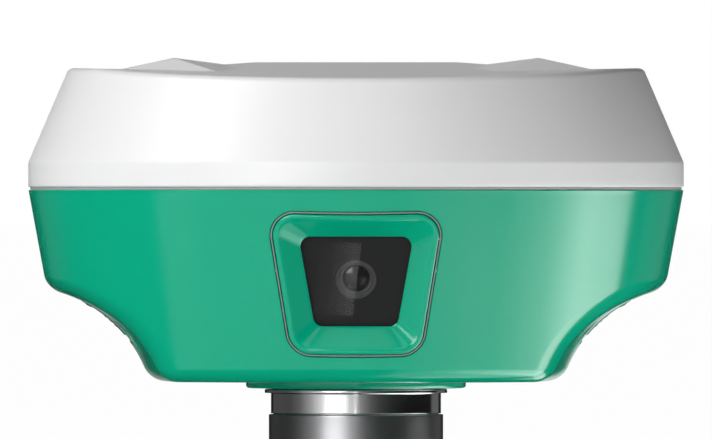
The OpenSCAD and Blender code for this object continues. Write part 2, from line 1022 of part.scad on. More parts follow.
module vent_plug() {
    color("black")
        translate([0, vent_y, 0])
            difference() {
                union() {
                    column(vent_d / 2, shell_z, floor_z + 1);
                    column(vent_d / 2 + 1.5, floor_z, floor_z + 1);
                }
                for (a = [0:90:270])
                    rotate([0, 0, a]) translate([2, 0, 0]) column(0.5, shell_z - 1, floor_z + 2);
            }
}

module speaker() {
    color("black")
        translate([0, speaker_y + 1.5, 0])
            intersection() {
                column(9.5, floor_z, floor_z + 4);
                block([19, 9], floor_z, floor_z + 4);
            }
}

// --- Inside ---

// A disc cut flat at all four sides
module cut_disc(r, half_x, half_y) {
    intersection() {
        circle(r);
        square([2 * half_x, 2 * half_y], center = true);
    }
}

module chassis() {
    color("lightgray")
        difference() {
            union() {
                slab(chassis_z, chassis_top_z) cut_disc(chassis_r, chassis_flat_x, chassis_flat_y);
                four_places(board_post) column(2.6, chassis_z + eps, board_z);
                four_places(antenna_post) column(3.4, chassis_z + eps, antenna_z);
            }
            four_places(chassis_post) column(m2_d / 2 + 0.2, chassis_z - 1, chassis_top_z + 1);
            four_places(board_post) column(m2_d / 2, chassis_top_z, board_z + 1);
            four_places(antenna_post) column(m2_d / 2, antenna_z - 8, antenna_z + 1);
        }
}

module chassis_screws() {
    color("gray")
        four_places(chassis_post)
            translate([0, 0, chassis_top_z])
                screw(m2_d, m2_head_d, m2_head_h, 8);
}

module battery_cells() {
    color("royalblue")
        both_sides()
            translate([cell_x, 0, cell_z])
                rotate([90, 0, 0])
                    union() {
                        cylinder(d = cell_d, h = cell_l - 1, center = true);
                        cylinder(d = cell_d / 3, h = cell_l + 1, center = true);
                    }
}

module battery_cradle() {
    end_t = 1.4;
    color("black")
        both_sides()
            translate([cell_x, 0, 0])
                difference() {
                    union() {
                        block([cradle_w, cell_l + 2 + 2 * end_t], floor_z, cell_z - cell_d / 4);
                        for (s = [-1, 1])
                            translate([0, s * (cell_l / 2 + 0.8 + end_t / 2), 0])
                                block([cradle_w, end_t], floor_z, chassis_z);
                    }
                    translate([0, 0, cell_z])
                        rotate([90, 0, 0])
                            cylinder(d = cell_d + 0.3, h = cell_l + 1.4, center = true);
                    // Room for the disc's screws
                    translate([-cell_x, 0, 0]) at_disc_screws() column(5.2, floor_z - 1, floor_z + 4);
                }
}

module main_board() {
    color("darkgreen")
        difference() {
            slab(board_z, board_top_z) cut_disc(chassis_r - 4, antenna_post.x - 5.5, chassis_flat_y - 3);
            four_places(board_post) column(m2_d / 2 + 0.2, board_z - 1, board_top_z + 1);
        }
}

module board_screws() {
    color("gray")
        four_places(board_post)
            translate([0, 0, board_top_z])
                screw(m2_d, m2_head_d, m2_head_h, 3);
}

module can(x, y, w, l, h) {
    translate([x, y, 0])
        union() {
            block([w, l], board_top_z, board_top_z + h);
            block([w + 1.2, l + 1.2], board_top_z, board_top_z + 0.6);
        }
}

module receiver_module() {
    color("silver") can(0, -10, 46, 30, can_h);
}

module radio_module() {
    color("silver") can(-20, 23, 32, 22, 4.2);
}

module mobile_module() {
    color("silver") can(15, 23, 24, 22, 2.6);
}

module tilt_sensor() {
    color("black") can(34, -8, 10, 10, 2.4);
}

module antenna_base() {
    lip_h = 3;
    color("lightgray")
        difference() {
            union() {
                column(antenna_r, antenna_z, antenna_z + antenna_t);
                difference() {
                    column(antenna_r, antenna_z, antenna_z + antenna_t + lip_h);
                    column(antenna_r - 1.6, antenna_z, antenna_z + antenna_t + lip_h + 1);
                }
            }
            four_places(antenna_post) column(m2_d / 2 + 0.2, antenna_z - 1, antenna_z + antenna_t + 1);
            column(4, antenna_z - 1, antenna_z + antenna_t + 1);
        }
}

module antenna_screws() {
    color("gray")
        four_places(antenna_post)
            translate([0, 0, antenna_z + antenna_t])
                screw(m2_d, m2_head_d, m2_head_h, 7);
}

module amplifier_board() {
    top = antenna_z + antenna_t;
    color("darkgreen")
        difference() {
            column(lower_patch_d / 2 + 3, top, top + amplifier_t);
            column(1.6, top - 1, top + amplifier_t + 1);
        }
}

module amplifier_can() {
    color("silver")
        difference() {
            block([36, 36], antenna_z - amplifier_can_h, antenna_z);
            column(4, antenna_z - amplifier_can_h - 1, antenna_z + 1);
        }
}

module patch(d, z_low) {
    difference() {
        column(d / 2, z_low, z_low + patch_t);
        column(1.6, z_low - 1, z_low + patch_t + 1);
    }
}

module lower_patch() {
    color("wheat") patch(lower_patch_d, antenna_z + antenna_t + amplifier_t);
}

module upper_patch() {
    color("wheat") patch(upper_patch_d, antenna_z + antenna_t + amplifier_t + patch_t);
}

module patch_screw() {
    color("gold")
        translate([0, 0, patch_top_z])
            screw(3, 5.6, 1.6, 2 * patch_t + amplifier_t);
}

// Coaxial lead from the amplifier down to the receiver module
module antenna_lead() {
    lead_r = 0.9;
    low_z = board_top_z + can_h;
    run_z = antenna_z - amplifier_can_h - 2.4;
    reach = 8;
    color("black") {
        translate([0, -reach, 0]) {
            column(lead_r, low_z + 2, run_z);
            column(2, low_z, low_z + 2.2);
            translate([0, 0, run_z]) sphere(lead_r);
        }
        translate([0, -reach, run_z])
            rotate([-90, 0, 0])
                cylinder(r = lead_r, h = reach);
        column(1.9, run_z - 1.2, antenna_z + antenna_t);
    }
}

// Flat antennas of the mobile and the short-range radio, upright on the antenna base's rim
module mobile_antennas() {
    color("darkolivegreen")
        for (s = [-1, 1])
            translate([0, s * (antenna_r - 4), 0])
                block([26, 1.2], antenna_z + antenna_t, antenna_z + antenna_t + 14);
}

// --- Pole adapter ---

module adapter_head() {
    bevel = 0.25;
    color("silver")
        difference() {
            rotate_extrude()
                polygon([
                    [0, spigot_end_z],
                    [spigot_d / 2 - 1, spigot_end_z],
                    [spigot_d / 2, spigot_end_z + 1],
                    [spigot_d / 2, lock_z - 0.5],
                    [spigot_neck_r, lock_z - 0.5],
                    [spigot_neck_r, lock_z + lock_t + 0.5],
                    [spigot_d / 2, lock_z + lock_t + 0.5],
                    [spigot_d / 2, sleeve_h],
                    [neck_d / 2 - bevel, sleeve_h],
                    [neck_d / 2, sleeve_h + bevel],
                    [neck_d / 2, flange_z - flange_t - 1],
                    [flange_d / 2 - bevel, flange_z - flange_t],
                    [flange_d / 2, flange_z - flange_t + bevel],
                    [flange_d / 2, flange_z - 0.3],
                    [0, flange_z - 0.3],
                ]);
            column(stud_d / 2, sleeve_h - 8, flange_z);
        }
}

module adapter_stud() {
    tip = 1.2;
    color("silver")
        rotate_extrude()
            polygon([
                [0, sleeve_h - 8],
                [stud_d / 2, sleeve_h - 8],
                [stud_d / 2, flange_z + stud_l - tip],
                [stud_d / 2 - tip, flange_z + stud_l],
                [0, flange_z + stud_l],
            ]);
}

module adapter_washer() {
    color("dimgray")
        difference() {
            column(flange_d / 2 - 1.5, flange_z - 0.3, flange_z);
            column(stud_d / 2 + 0.2, flange_z - 1, flange_z + 1);
        }
}

module adapter_sleeve() {
    bevel = 0.5;
    color("darkgray")
        difference() {
            rotate_extrude()
                polygon([
                    [lock_room_r, base_step_z],
                    [sleeve_d / 2, base_step_z],
                    [sleeve_d / 2, sleeve_h - groove_t - bevel],
                    [sleeve_d / 2 - bevel, sleeve_h - groove_t],
                    [sleeve_d / 2 - 2.5, sleeve_h - groove_t],
                    [sleeve_d / 2 - 2.5, sleeve_h],
                    [spigot_d / 2 + 0.05, sleeve_h],
                    [spigot_d / 2 + 0.05, lock_z + lock_t + 0.1],
                    [lock_room_r, lock_z + lock_t + 0.1],
                ]);
            translate([-button_w / 2 - 0.1, 0, lock_z - 0.1])
                cube([button_w + 0.2, sleeve_d, lock_t + 0.2]);
        }
}

// Threaded base of the sleeve: it takes the pole's thread and carries the lock plate
module sleeve_base() {
    bevel = 0.6;
    color("darkgray")
        rotate_extrude()
            polygon([
                [thread_minor_d / 2 + 1.2, 0],
                [sleeve_d / 2 - bevel, 0],
                [sleeve_d / 2, bevel],
                [sleeve_d / 2, base_step_z],
                [lock_room_r - 0.02, base_step_z],
                [lock_room_r - 0.02, lock_z - 0.1],
                [spigot_d / 2 + 0.05, lock_z - 0.1],
                [spigot_d / 2 + 0.05, socket_floor_z],
                [thread_minor_d / 2, socket_floor_z],
                [thread_minor_d / 2, 1.2],
            ]);
}

// The lock plate with its button: a slide with a round hole that catches the spigot's neck
module latch_button() {
    color("black")
        difference() {
            union() {
                translate([0, latch_travel, 0]) column(lock_r, lock_z, lock_z + lock_t);
                translate([-button_w / 2, 0, lock_z])
                    cube([button_w, sleeve_d / 2 + button_reach, lock_t]);
            }
            translate([0, latch_travel, 0]) column(lock_bore_r, lock_z - 1, lock_z + lock_t + 1);
        }
}

// Coil spring between the lock plate and the sleeve
module latch_spring() {
    turns = 3;
    ring_steps = 14;
    wire_sides = 8;
    wire_r = 0.3;
    coil_r = 1.2;
    length = lock_room_r - lock_r + latch_travel - 0.2 - 2 * wire_r;
    steps = turns * ring_steps;
    function centre(i) = [
        coil_r * cos(i * 360 / ring_steps),
        coil_r * sin(i * 360 / ring_steps),
        wire_r + length * i / steps,
    ];
    points = [for (i = [0:steps], k = [0:wire_sides - 1])
        let (turn = i * 360 / ring_steps, tilt = k * 360 / wire_sides)
            centre(i) + [
                wire_r * cos(tilt) * cos(turn),
                wire_r * cos(tilt) * sin(turn),
                wire_r * sin(tilt),
            ]];
    sides = [for (i = [0:steps - 1], k = [0:wire_sides - 1])
        let (next = (k + 1) % wire_sides)
            [i * wire_sides + k, i * wire_sides + next, (i + 1) * wire_sides + next, (i + 1) * wire_sides + k]];
    first_cap = [for (k = [wire_sides - 1:-1:0]) k];
    last_cap = [for (k = [0:wire_sides - 1]) steps * wire_sides + k];
    color("silver")
        translate([0, latch_travel - lock_r - 0.1, lock_z + lock_t / 2])
            rotate([90, 0, 0])
                polyhedron(points = points, faces = concat(sides, [first_cap, last_cap]));
}

top_cover();
seam_gasket();
lower_shell();
housing_screws();
mount_disc();
mount_insert();
disc_screws();
camera_hood();
hood_gasket();
hood_screws();
camera_window();
camera_mask();
lens_barrel();
front_lens();
rear_lens();
camera_board();
camera_ribbon();
control_panel();
panel_seal();
power_button();
button_switch();
light_pipes();
left_flap();
right_flap();
left_flap_pin();
right_flap_pin();
usb_socket();
data_socket();
card_socket();
radio_socket();
speaker();
vent_plug();
chassis();
chassis_screws();
battery_cells();
battery_cradle();
main_board();
board_screws();
receiver_module();
radio_module();
mobile_module();
tilt_sensor();
antenna_base();
antenna_screws();
amplifier_board();
amplifier_can();
lower_patch();
upper_patch();
patch_screw();
antenna_lead();
mobile_antennas();
adapter_head();
adapter_stud();
adapter_washer();
adapter_sleeve();
sleeve_base();
latch_button();
latch_spring();
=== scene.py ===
import json
import math
import bpy
import numpy as np
from mathutils import Matrix, Vector


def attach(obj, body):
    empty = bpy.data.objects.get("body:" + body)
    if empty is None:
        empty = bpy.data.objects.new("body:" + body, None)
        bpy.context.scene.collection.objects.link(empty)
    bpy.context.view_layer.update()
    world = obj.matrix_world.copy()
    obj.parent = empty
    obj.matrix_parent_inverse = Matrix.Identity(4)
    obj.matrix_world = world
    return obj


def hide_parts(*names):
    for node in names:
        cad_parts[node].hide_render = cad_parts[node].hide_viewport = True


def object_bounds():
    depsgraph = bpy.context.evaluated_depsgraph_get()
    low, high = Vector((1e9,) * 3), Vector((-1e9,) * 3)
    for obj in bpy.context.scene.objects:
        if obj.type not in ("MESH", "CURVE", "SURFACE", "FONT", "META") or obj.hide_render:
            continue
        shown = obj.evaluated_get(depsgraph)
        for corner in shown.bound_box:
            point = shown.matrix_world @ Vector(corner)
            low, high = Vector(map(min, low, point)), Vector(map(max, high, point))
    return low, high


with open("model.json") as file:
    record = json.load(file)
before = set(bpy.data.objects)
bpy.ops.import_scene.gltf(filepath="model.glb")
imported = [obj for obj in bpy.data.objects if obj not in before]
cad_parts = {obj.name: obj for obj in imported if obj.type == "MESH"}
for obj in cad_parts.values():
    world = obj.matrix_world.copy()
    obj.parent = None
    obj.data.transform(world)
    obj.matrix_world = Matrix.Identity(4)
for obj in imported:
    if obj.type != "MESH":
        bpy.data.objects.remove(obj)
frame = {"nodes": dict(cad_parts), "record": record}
cadLow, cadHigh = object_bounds()
housing = "housing"
mm = 0.001          # lengths below are in millimetres and become metres when a mesh is made
print("frame loaded:", len(frame["nodes"]), "nodes")


def makeObject(name, points, faces, sharpAngle=32.0):
    mesh = bpy.data.meshes.new(name)
    mesh.from_pydata((np.asarray(points, float) * mm).tolist(), [], faces)
    mesh.validate()
    mesh.update()
    if enclosed(mesh) < 0:
        mesh.flip_normals()
    finishShading(mesh, sharpAngle)
    made = bpy.data.objects.new(name, mesh)
    bpy.context.scene.collection.objects.link(made)
    return made


def enclosed(mesh):
    # six times the volume; below zero where the faces look inwards
    mesh.calc_loop_triangles()
    triangles = np.empty(len(mesh.loop_triangles) * 3, int)
    mesh.loop_triangles.foreach_get("vertices", triangles)
    points = np.empty(len(mesh.vertices) * 3)
    mesh.vertices.foreach_get("co", points)
    a, b, c = np.moveaxis(points.reshape(-1, 3)[triangles.reshape(-1, 3)], 1, 0)
    return float(np.sum(a * np.cross(b, c)))


def finishShading(mesh, sharpAngle):
    mesh.polygons.foreach_set("use_smooth", [True] * len(mesh.polygons))
    mesh.set_sharp_from_angle(angle=math.radians(sharpAngle))
    mesh.update()


def gridFaces(rows, columns, closeRows=False, closeColumns=True):
    # rows run along the profile, columns round the ring
    r, c = np.meshgrid(
        np.arange(rows if closeRows else rows - 1),
        np.arange(columns if closeColumns else columns - 1), indexing="ij")
    rNext, cNext = (r + 1) % rows, (c + 1) % columns
    quads = np.stack([r * columns + c, r * columns + cNext,
                      rNext * columns + cNext, rNext * columns + c], axis=-1).reshape(-1, 4)
    return quads.tolist()


def ringStack(name, rings, closed=True, sharpAngle=32.0):
    # a closed tube of rings, or one with both ends capped by a fan
    rings = np.asarray(rings, float)
    count, around = rings.shape[:2]
    points = rings.reshape(-1, 3)
    faces = gridFaces(count, around, closeRows=closed)
    if not closed:
        first, last = rings[0].mean(0), rings[-1].mean(0)
        points = np.vstack([points, first, last])
        a, b, base = count * around, count * around + 1, (count - 1) * around
        for i in range(around):
            j = (i + 1) % around
            faces += [[a, j, i], [b, base + i, base + j]]
    return makeObject(name, points, faces, sharpAngle)


def join(name, parts, sharpAngle=32.0):
    # one object out of several meshes that stay separate shells
    points, faces, start = [], [], 0
    for part in parts:
        mesh = part.data
        points += [tuple(v.co / mm) for v in mesh.vertices]
        faces += [[i + start for i in p.vertices] for p in mesh.polygons]
        start += len(mesh.vertices)
        bpy.data.objects.remove(part)
        bpy.data.meshes.remove(mesh)
    return makeObject(name, points, faces, sharpAngle)


def carve(target, tool, operation="DIFFERENCE", sharpAngle=32.0):
    change = target.modifiers.new("carve", "BOOLEAN")
    change.operation = operation
    change.solver = "MANIFOLD"
    change.object = tool
    graph = bpy.context.evaluated_depsgraph_get()
    done = bpy.data.meshes.new_from_object(target.evaluated_get(graph))
    target.modifiers.clear()
    old = target.data
    before = len(old.polygons)
    target.data = done
    done.name = target.name
    bpy.data.meshes.remove(old)
    bpy.data.objects.remove(tool)
    finishShading(done, sharpAngle)
    print("  carved", target.name, before, "->", len(done.polygons), "faces")


def roundCorners(corners, steps=5):
    # corners are (r, z) or (r, z, rounding) of a closed outline
    points = []
    for i, corner in enumerate(corners):
        here = np.array(corner[:2], float)
        size = corner[2] if len(corner) > 2 else 0
        if not size:
            points.append(tuple(here))
            continue
        before = np.array(corners[i - 1][:2], float) - here
        after = np.array(corners[(i + 1) % len(corners)][:2], float) - here
        before /= np.linalg.norm(before)
        after /= np.linalg.norm(after)
        half = math.acos(max(-1.0, min(1.0, float(before @ after)))) / 2
        middle = before + after
        centre = here + middle / np.linalg.norm(middle) * size / math.sin(half)
        start = here + before * size / math.tan(half) - centre
        end = here + after * size / math.tan(half) - centre
        turn = math.atan2(start[0] * end[1] - start[1] * end[0], float(start @ end))
        for k in range(steps + 1):
            a = turn * k / steps
            points.append((centre[0] + start[0] * math.cos(a) - start[1] * math.sin(a),
                           centre[1] + start[0] * math.sin(a) + start[1] * math.cos(a)))
    return points


def fullTurn(around):
    return np.arange(around) / around * 2 * np.pi


def turnRings(corners, around, steps=5, radial=None):
    # an outline of (r, z) corners turned about the axis
    outline, angle = np.array(roundCorners(corners, steps)), fullTurn(around)
    r = outline[:, :1] + (radial(outline, angle) if radial else 0 * angle[None, :])
    return np.stack([r * np.cos(angle), r * np.sin(angle), outline[:, 1:] + 0 * angle[None, :]], axis=-1)


def lathe(name, corners, around=192, sharpAngle=32.0, radial=None):
    # a ring-shaped solid whose outline never touches the axis
    return ringStack(name, turnRings(corners, around, radial=radial), sharpAngle=sharpAngle)


def solidTurn(name, corners, place, around=96):
    # a turned solid; corners run from the foot's edge to the top's edge, and both ends close on the axis
    ends = [corners[0][:2], corners[-1][:2]]
    rings = turnRings([ends[0], *corners[1:-1], ends[1]], around)
    return ringStack(name, place(rings), closed=False)


# the shape of the housing

body = dict(radius=79.0, seam=88.1, taper=0.184, under=41.9, wall=2.5, floor=3.0, seamBevel=0.4,
            footRound=3.3, sideRound=3.2, gasket=0.7, spokes=1024)
scoop = dict(radius=31.9, x=80.3, z=32.45, path=374.0, wall=4.3)
cover = dict(foot=88.45, skirtTop=94.3, taper=0.4286, crest=118.6, fall=0.065, flat=9.0,
             rim=67.73, rimRound=1.25, ridgeRound=0.15, facetRound=0.1, wall=2.3,
             middle=24.0, middleFall=0.09, lip=117.0, lipRise=0.09)
# half of a raised wing: ridge, foot towards the rim, how far that slope runs on, and the inner corners
wing = dict(ridge=(43.6, 33.0, 119.38), outer=(59.2, 34.5, 116.0), runOn=2.2,
            inner=((30.4, 11.5, 117.78), (25.5, 34.0, 116.18), (31.0, 46.6, 115.3)))
shellLean = math.atan(body["taper"])


def roundMax(a, b, r):
    return np.minimum(-r, np.maximum(a, b)) + np.hypot(np.maximum(a + r, 0), np.maximum(b + r, 0))


def roundMin(a, b, r):
    return -roundMax(-a, -b, r)


def wingPlanes():
    # the planes over the raised wing, each as a unit normal and a distance
    ridge, outer = np.array(wing["ridge"]), np.array(wing["outer"])
    beyond = ridge + (outer - ridge) * wing["runOn"]
    half = [wing["ridge"], *wing["inner"], wing["outer"], tuple(beyond)]
    corners = np.array([(x, s * y, z) for x, y, z in half for s in (-1, 1)])
    found = []
    for i in range(len(corners)):
        for j in range(i + 1, len(corners)):
            for k in range(j + 1, len(corners)):
                n = np.cross(corners[j] - corners[i], corners[k] - corners[i])
                size = np.linalg.norm(n)
                if size < 1e-6:
                    continue
                n = n / size * (1 if n[2] > 0 else -1)
                if n[2] < 0.3 or ((corners - corners[i]) @ n).max() > 1e-4:
                    continue
                d = float(n @ corners[i])
                if not any(np.allclose(n, m, atol=1e-4) and abs(d - e) < 1e-3 for m, e in found):
                    found.append((n, d))
    return found


wingFacets = wingPlanes()


def topField(x, y, z, lower=0.0):
    crest = cover["crest"] - lower
    out, flat, fall = np.abs(y), cover["flat"], cover["fall"]
    height = crest - fall * np.where(out < flat, out / 2, out - flat / 2)
    middle = crest - cover["middleFall"] * np.maximum(np.abs(x) - cover["middle"], 0)
    lip = cover["lip"] - lower + cover["lipRise"] * (np.abs(x) - cover["rim"])
    roof = roundMax(z - height, roundMin(z - middle, z - lip, 3.0), 0.3)
    if lower:
        return roof
    raised = None
    for n, d in wingFacets:
        plane = np.abs(x) * n[0] + y * n[1] + z * n[2] - d
        raised = plane if raised is None else roundMax(raised, plane, cover["facetRound"])
    return roundMin(roof, raised, cover["facetRound"])


def coverField(x, y, z, lower=0.0, inward=0.0):
    r = np.hypot(x, y) + inward
    cone = (r - body["radius"] + cover["taper"] * (z - cover["skirtTop"])) / math.hypot(1, cover["taper"])
    side = roundMax(cone, r - body["radius"], cover["ridgeRound"])
    return roundMax(side, topField(x, y, z, lower), cover["rimRound"])


def scoopField(x, y, z):
    across = np.hypot(np.abs(x) - (scoop["x"] - scoop["path"]), y) - scoop["path"]
    return scoop["radius"] - np.hypot(across, z - scoop["z"])


def shellField(x, y, z):
    cone = (np.hypot(x, y) - body["radius"] + body["taper"] * (body["seam"] - z)) * math.cos(shellLean)
    sides = roundMax(cone, scoopField(x, y, z), body["sideRound"])
    return roundMax(sides, body["under"] - z, body["footRound"])


def shellRoom(x, y, z):
    # the room inside the shell
    cone = (np.hypot(x, y) - body["radius"] + body["taper"] * (body["seam"] - z)) * math.cos(shellLean)
    walls = np.maximum(cone + body["wall"], scoopField(x, y, z) + scoop["wall"])
    return roundMax(walls, body["under"] + body["floor"] - z, 1.0)


def castRays(field, azimuth, elevation, near=15.0, far=125.0):
    # where the rays from the middle of the seam leave the field; each azimuth has a row of elevations
    dx = np.cos(elevation) * np.cos(azimuth)[:, None]
    dy = np.cos(elevation) * np.sin(azimuth)[:, None]
    dz = np.sin(elevation)
    low, high = np.full(elevation.shape, near), np.full(elevation.shape, far)
    for _ in range(34):
        middle = (low + high) / 2
        inside = field(dx * middle, dy * middle, dz * middle + body["seam"]) < 0
        low, high = np.where(inside, middle, low), np.where(inside, high, middle)
    t = (low + high) / 2
    return np.stack([dx * t, dy * t, dz * t + body["seam"]], axis=-1)


def spreadRays(field, azimuth, start, end, count, detail=1.3, turn=2.5):
    # elevations for each azimuth that lie close together where the skin bends
    coarse = azimuth[::4]
    fine = np.linspace(start, end, 700)[None, :] + 0 * coarse[:, None]
    skin = castRays(field, coarse, fine)
    r, z = np.hypot(skin[..., 0], skin[..., 1]), skin[..., 2]
    dr, dz = np.diff(r, axis=1), np.diff(z, axis=1)
    length = np.hypot(dr, dz)
    heading = np.unwrap(np.arctan2(dz, dr), axis=1)
    bend = np.zeros_like(length)
    bend[:, 1:] = np.abs(np.diff(heading, axis=1))
    weight = length / detail + bend / math.radians(turn)
    kernel = np.hanning(9)[1:-1]
    kernel /= kernel.sum()
    smooth = lambda row: np.convolve(np.pad(row, 3, mode="edge"), kernel, "valid")
    weight = np.apply_along_axis(smooth, 1, weight)
    for _ in range(6):
        weight = (np.roll(weight, 1, axis=0) + 2 * weight + np.roll(weight, -1, axis=0)) / 4
    total = np.concatenate([np.zeros((len(coarse), 1)), np.cumsum(weight, axis=1)], axis=1)
    total /= total[:, -1:]
    wanted = np.linspace(0, 1, count)
    sparse = np.array([np.interp(wanted, total[i], fine[i]) for i in range(len(coarse))])
    full = np.empty((len(azimuth), count))
    spot = np.arange(len(azimuth)) / 4.0
    wrapped = np.vstack([sparse, sparse[:1]])
    for k in range(count):
        full[:, k] = np.interp(spot, np.arange(len(wrapped)), wrapped[:, k])
    return full


azimuth = fullTurn(body["spokes"]) + 0.5 * np.pi / body["spokes"]


def levelRing(r, z):
    return np.stack([r * np.cos(azimuth), r * np.sin(azimuth), z + 0 * azimuth], axis=-1)


def makeCover():
    low = cover["foot"]
    bevel = body["seamBevel"]
    start = math.atan2(low + bevel - body["seam"], body["radius"])
    rays = spreadRays(coverField, azimuth, start, math.radians(88.0), 190)
    outer = castRays(coverField, azimuth, rays)
    room = lambda x, y, z: coverField(x, y, z, cover["wall"], cover["wall"])
    inner = castRays(room, azimuth, rays[:, ::8])
    rings = [outer[:, k] for k in range(outer.shape[1])][::-1]
    for k in range(1, 5):
        a = math.radians(90 * k / 4)
        rings.append(levelRing(body["radius"] - bevel * (1 - math.cos(a)), low + bevel * (1 - math.sin(a))))
    rings.append(levelRing(body["radius"] - cover["wall"], low))
    rings += [inner[:, k] for k in range(1, inner.shape[1])]
    rings = np.array(rings)
    count = len(rings)
    points = rings.reshape(-1, 3)
    faces = gridFaces(count, len(azimuth))
    top = castRays(coverField, np.array([0.0]), np.array([[math.pi / 2]]))[0, 0]
    roof = castRays(room, np.array([0.0]), np.array([[math.pi / 2]]))[0, 0]
    points = np.vstack([points, top, roof])
    around = len(azimuth)
    for i in range(around):
        j = (i + 1) % around
        faces.append([count * around, j, i])
        faces.append([count * around + 1, (count - 1) * around + i, (count - 1) * around + j])
    return makeObject("coverShell", points, faces)


def makeShell():
    high = body["seam"] - body["gasket"] / 2
    bevel = 0.35
    start = math.atan2(high - bevel - body["seam"], body["radius"])
    end = -math.atan2(body["seam"] - body["under"], 10.0)
    rays = spreadRays(shellField, azimuth, start, end, 180)
    outer = castRays(shellField, azimuth, rays)
    inner = castRays(shellRoom, azimuth, rays[:, ::3])
    topRadius = body["radius"] - body["taper"] * (body["seam"] - high)
    rings = [levelRing(topRadius - bevel * (1 - math.sin(a)), high - bevel * (1 - math.cos(a)))
             for a in np.radians([0, 22.5, 45, 67.5])]
    rings += [outer[:, k] for k in range(outer.shape[1])]
    rings += [inner[:, k] for k in range(inner.shape[1])][::-1][:-1]
    rings.append(levelRing(topRadius - body["wall"], high))
    return ringStack("lowerShell", np.array(rings))


topCover = makeCover()
lowerShell = makeShell()
print("housing skins made:", len(topCover.data.vertices), len(lowerShell.data.vertices))


# outlines on the shell's skin

camera = dict(depth=22.9, turn=0, top=14.35, bottom=10.65, halfHeight=11.45, corner=5.35, proud=0.5,
              lip=1.2, edge=0.35, recess=4.3, back=6.4, sealWidth=0.42, sealGap=0.2, opening=0.8)
window = dict(top=10.85, bottom=7.85, halfHeight=8.5, corner=2.4, thick=1.5, front=4.42, grow=1.0)
panel = dict(depth=19.0, turn=1, top=14.5, bottom=14.5, halfHeight=5.5, corner=5.0, proud=0.5, edge=0.45,
             back=6.2, button=11.0, buttonProud=0.9, light=1.8, pitch=5.0, lightUp=7.2,
             sealWidth=0.5, sealGap=0.18, opening=0.9)


def fourCorner(shape, grow, arcSteps=16, sideSteps=20):
    # a closed outline of four round corners; every call gives the same number of points
    lean = math.atan((shape["top"] - shape["bottom"]) / (2 * shape["halfHeight"]))
    r = shape["corner"] + grow
    top, bottom, high = shape["top"], shape["bottom"], shape["halfHeight"]
    centres = [(top, high), (-top, high), (-bottom, -high), (bottom, -high)]
    leanAngle = math.degrees(lean)
    spans = [(-leanAngle, 90.0), (90.0, 180.0 + leanAngle), (180.0 + leanAngle, 270.0),
             (270.0, 360.0 - leanAngle)]
    arcs = []
    for centre, (start, end) in zip(centres, spans):
        turn = np.radians(np.linspace(start, end, arcSteps + 1))
        arcs.append(np.stack([centre[0] + r * np.cos(turn), centre[1] + r * np.sin(turn)], axis=-1))
    points = []
    for k in range(4):
        points.append(arcs[k])
        goal = arcs[(k + 1) % 4][0]
        t = np.linspace(0, 1, sideSteps + 1)[1:-1, None]
        points.append(arcs[k][-1] * (1 - t) + goal * t)
    return np.vstack(points)


def onSkin(shape, across, up, out):
    # from across, up and out on the sloping skin to the housing's own axes
    reach = body["radius"] - body["taper"] * shape["depth"]
    lean = shellLean
    side = -1.0 if shape["turn"] else 1.0
    y = -reach - up * math.sin(lean) - out * math.cos(lean)
    z = body["seam"] - shape["depth"] + up * math.cos(lean) - out * math.sin(lean)
    return np.stack(np.broadcast_arrays(side * across, side * y, z), axis=-1)


def coneHeight(shape, across, up):
    # how far the round skin lies from the flat plane at a place
    out = np.zeros(np.shape(across))
    for _ in range(12):
        p = onSkin(shape, across, up, out)
        gap = np.hypot(p[..., 0], p[..., 1]) - body["radius"] + body["taper"] * (body["seam"] - p[..., 2])
        out = out - gap * math.cos(shellLean)
    return out


def skinRing(shape, outline, height, flat=None, share=0.0):
    # a ring at a height over the round skin, or part of the way towards a flat plane
    lift = coneHeight(shape, outline[:, 0], outline[:, 1]) + height
    if flat is not None:
        lift = lift * (1 - share) + flat * share
    return onSkin(shape, outline[:, 0], outline[:, 1], lift)


def skinCutter(shape, grow, flare=0.3, deep=-12.0):
    outline = fourCorner(shape, grow)
    wide = fourCorner(shape, grow + flare + 0.4)
    zero = np.zeros(len(outline))
    rings = [onSkin(shape, outline[:, 0], outline[:, 1], zero + deep),
             skinRing(shape, outline, -flare), skinRing(shape, wide, 0.4),
             onSkin(shape, wide[:, 0], wide[:, 1], zero + 5.0)]
    return ringStack("cutter", rings, closed=False)


def planeRing(shape, outline, height):
    return onSkin(shape, outline[:, 0], outline[:, 1], np.full(len(outline), float(height)))


def blendRings(first, last, shares):
    return [first * (1 - t) + last * t for t in shares]


def bendRings(a, b, c, steps=6):
    # a soft bend from a past b to c
    return [a * (1 - t) ** 2 + b * 2 * t * (1 - t) + c * t * t for t in np.linspace(0, 1, steps + 1)]


def edgeRings(shape, low, edge, proud, steps=5):
    # up an outer wall and over its rounded edge, over the round skin
    rings = [skinRing(shape, fourCorner(shape, 0), low)]
    for a in np.radians(np.linspace(0, 90, steps + 1)):
        grow = -edge * (1 - math.cos(a))
        rings.append(skinRing(shape, fourCorner(shape, grow), proud - edge * (1 - math.sin(a))))
    return rings


def makeHood():
    c = camera
    rings = [planeRing(c, fourCorner(c, 0), -c["back"])] + edgeRings(c, -1.5, c["edge"], c["proud"])
    lipEnd = skinRing(c, fourCorner(c, -c["lip"] + 0.35), c["proud"])
    mouth = skinRing(c, fourCorner(c, -c["lip"]), c["proud"])
    sill = planeRing(c, fourCorner(window, 0), -c["recess"])
    rings += bendRings(lipEnd, mouth, mouth * 0.9 + sill * 0.1)
    rings += blendRings(mouth, sill, [0.22, 0.36, 0.5, 0.64, 0.78, 0.9, 0.985])
    step = planeRing(c, fourCorner(window, -0.05), -window["front"] + 0.02)
    rings += [step, planeRing(c, fourCorner(window, window["grow"] + 0.1), -window["front"] + 0.02),
              planeRing(c, fourCorner(window, window["grow"] + 0.1), -c["back"])]
    return ringStack("cameraHood", np.array(rings))


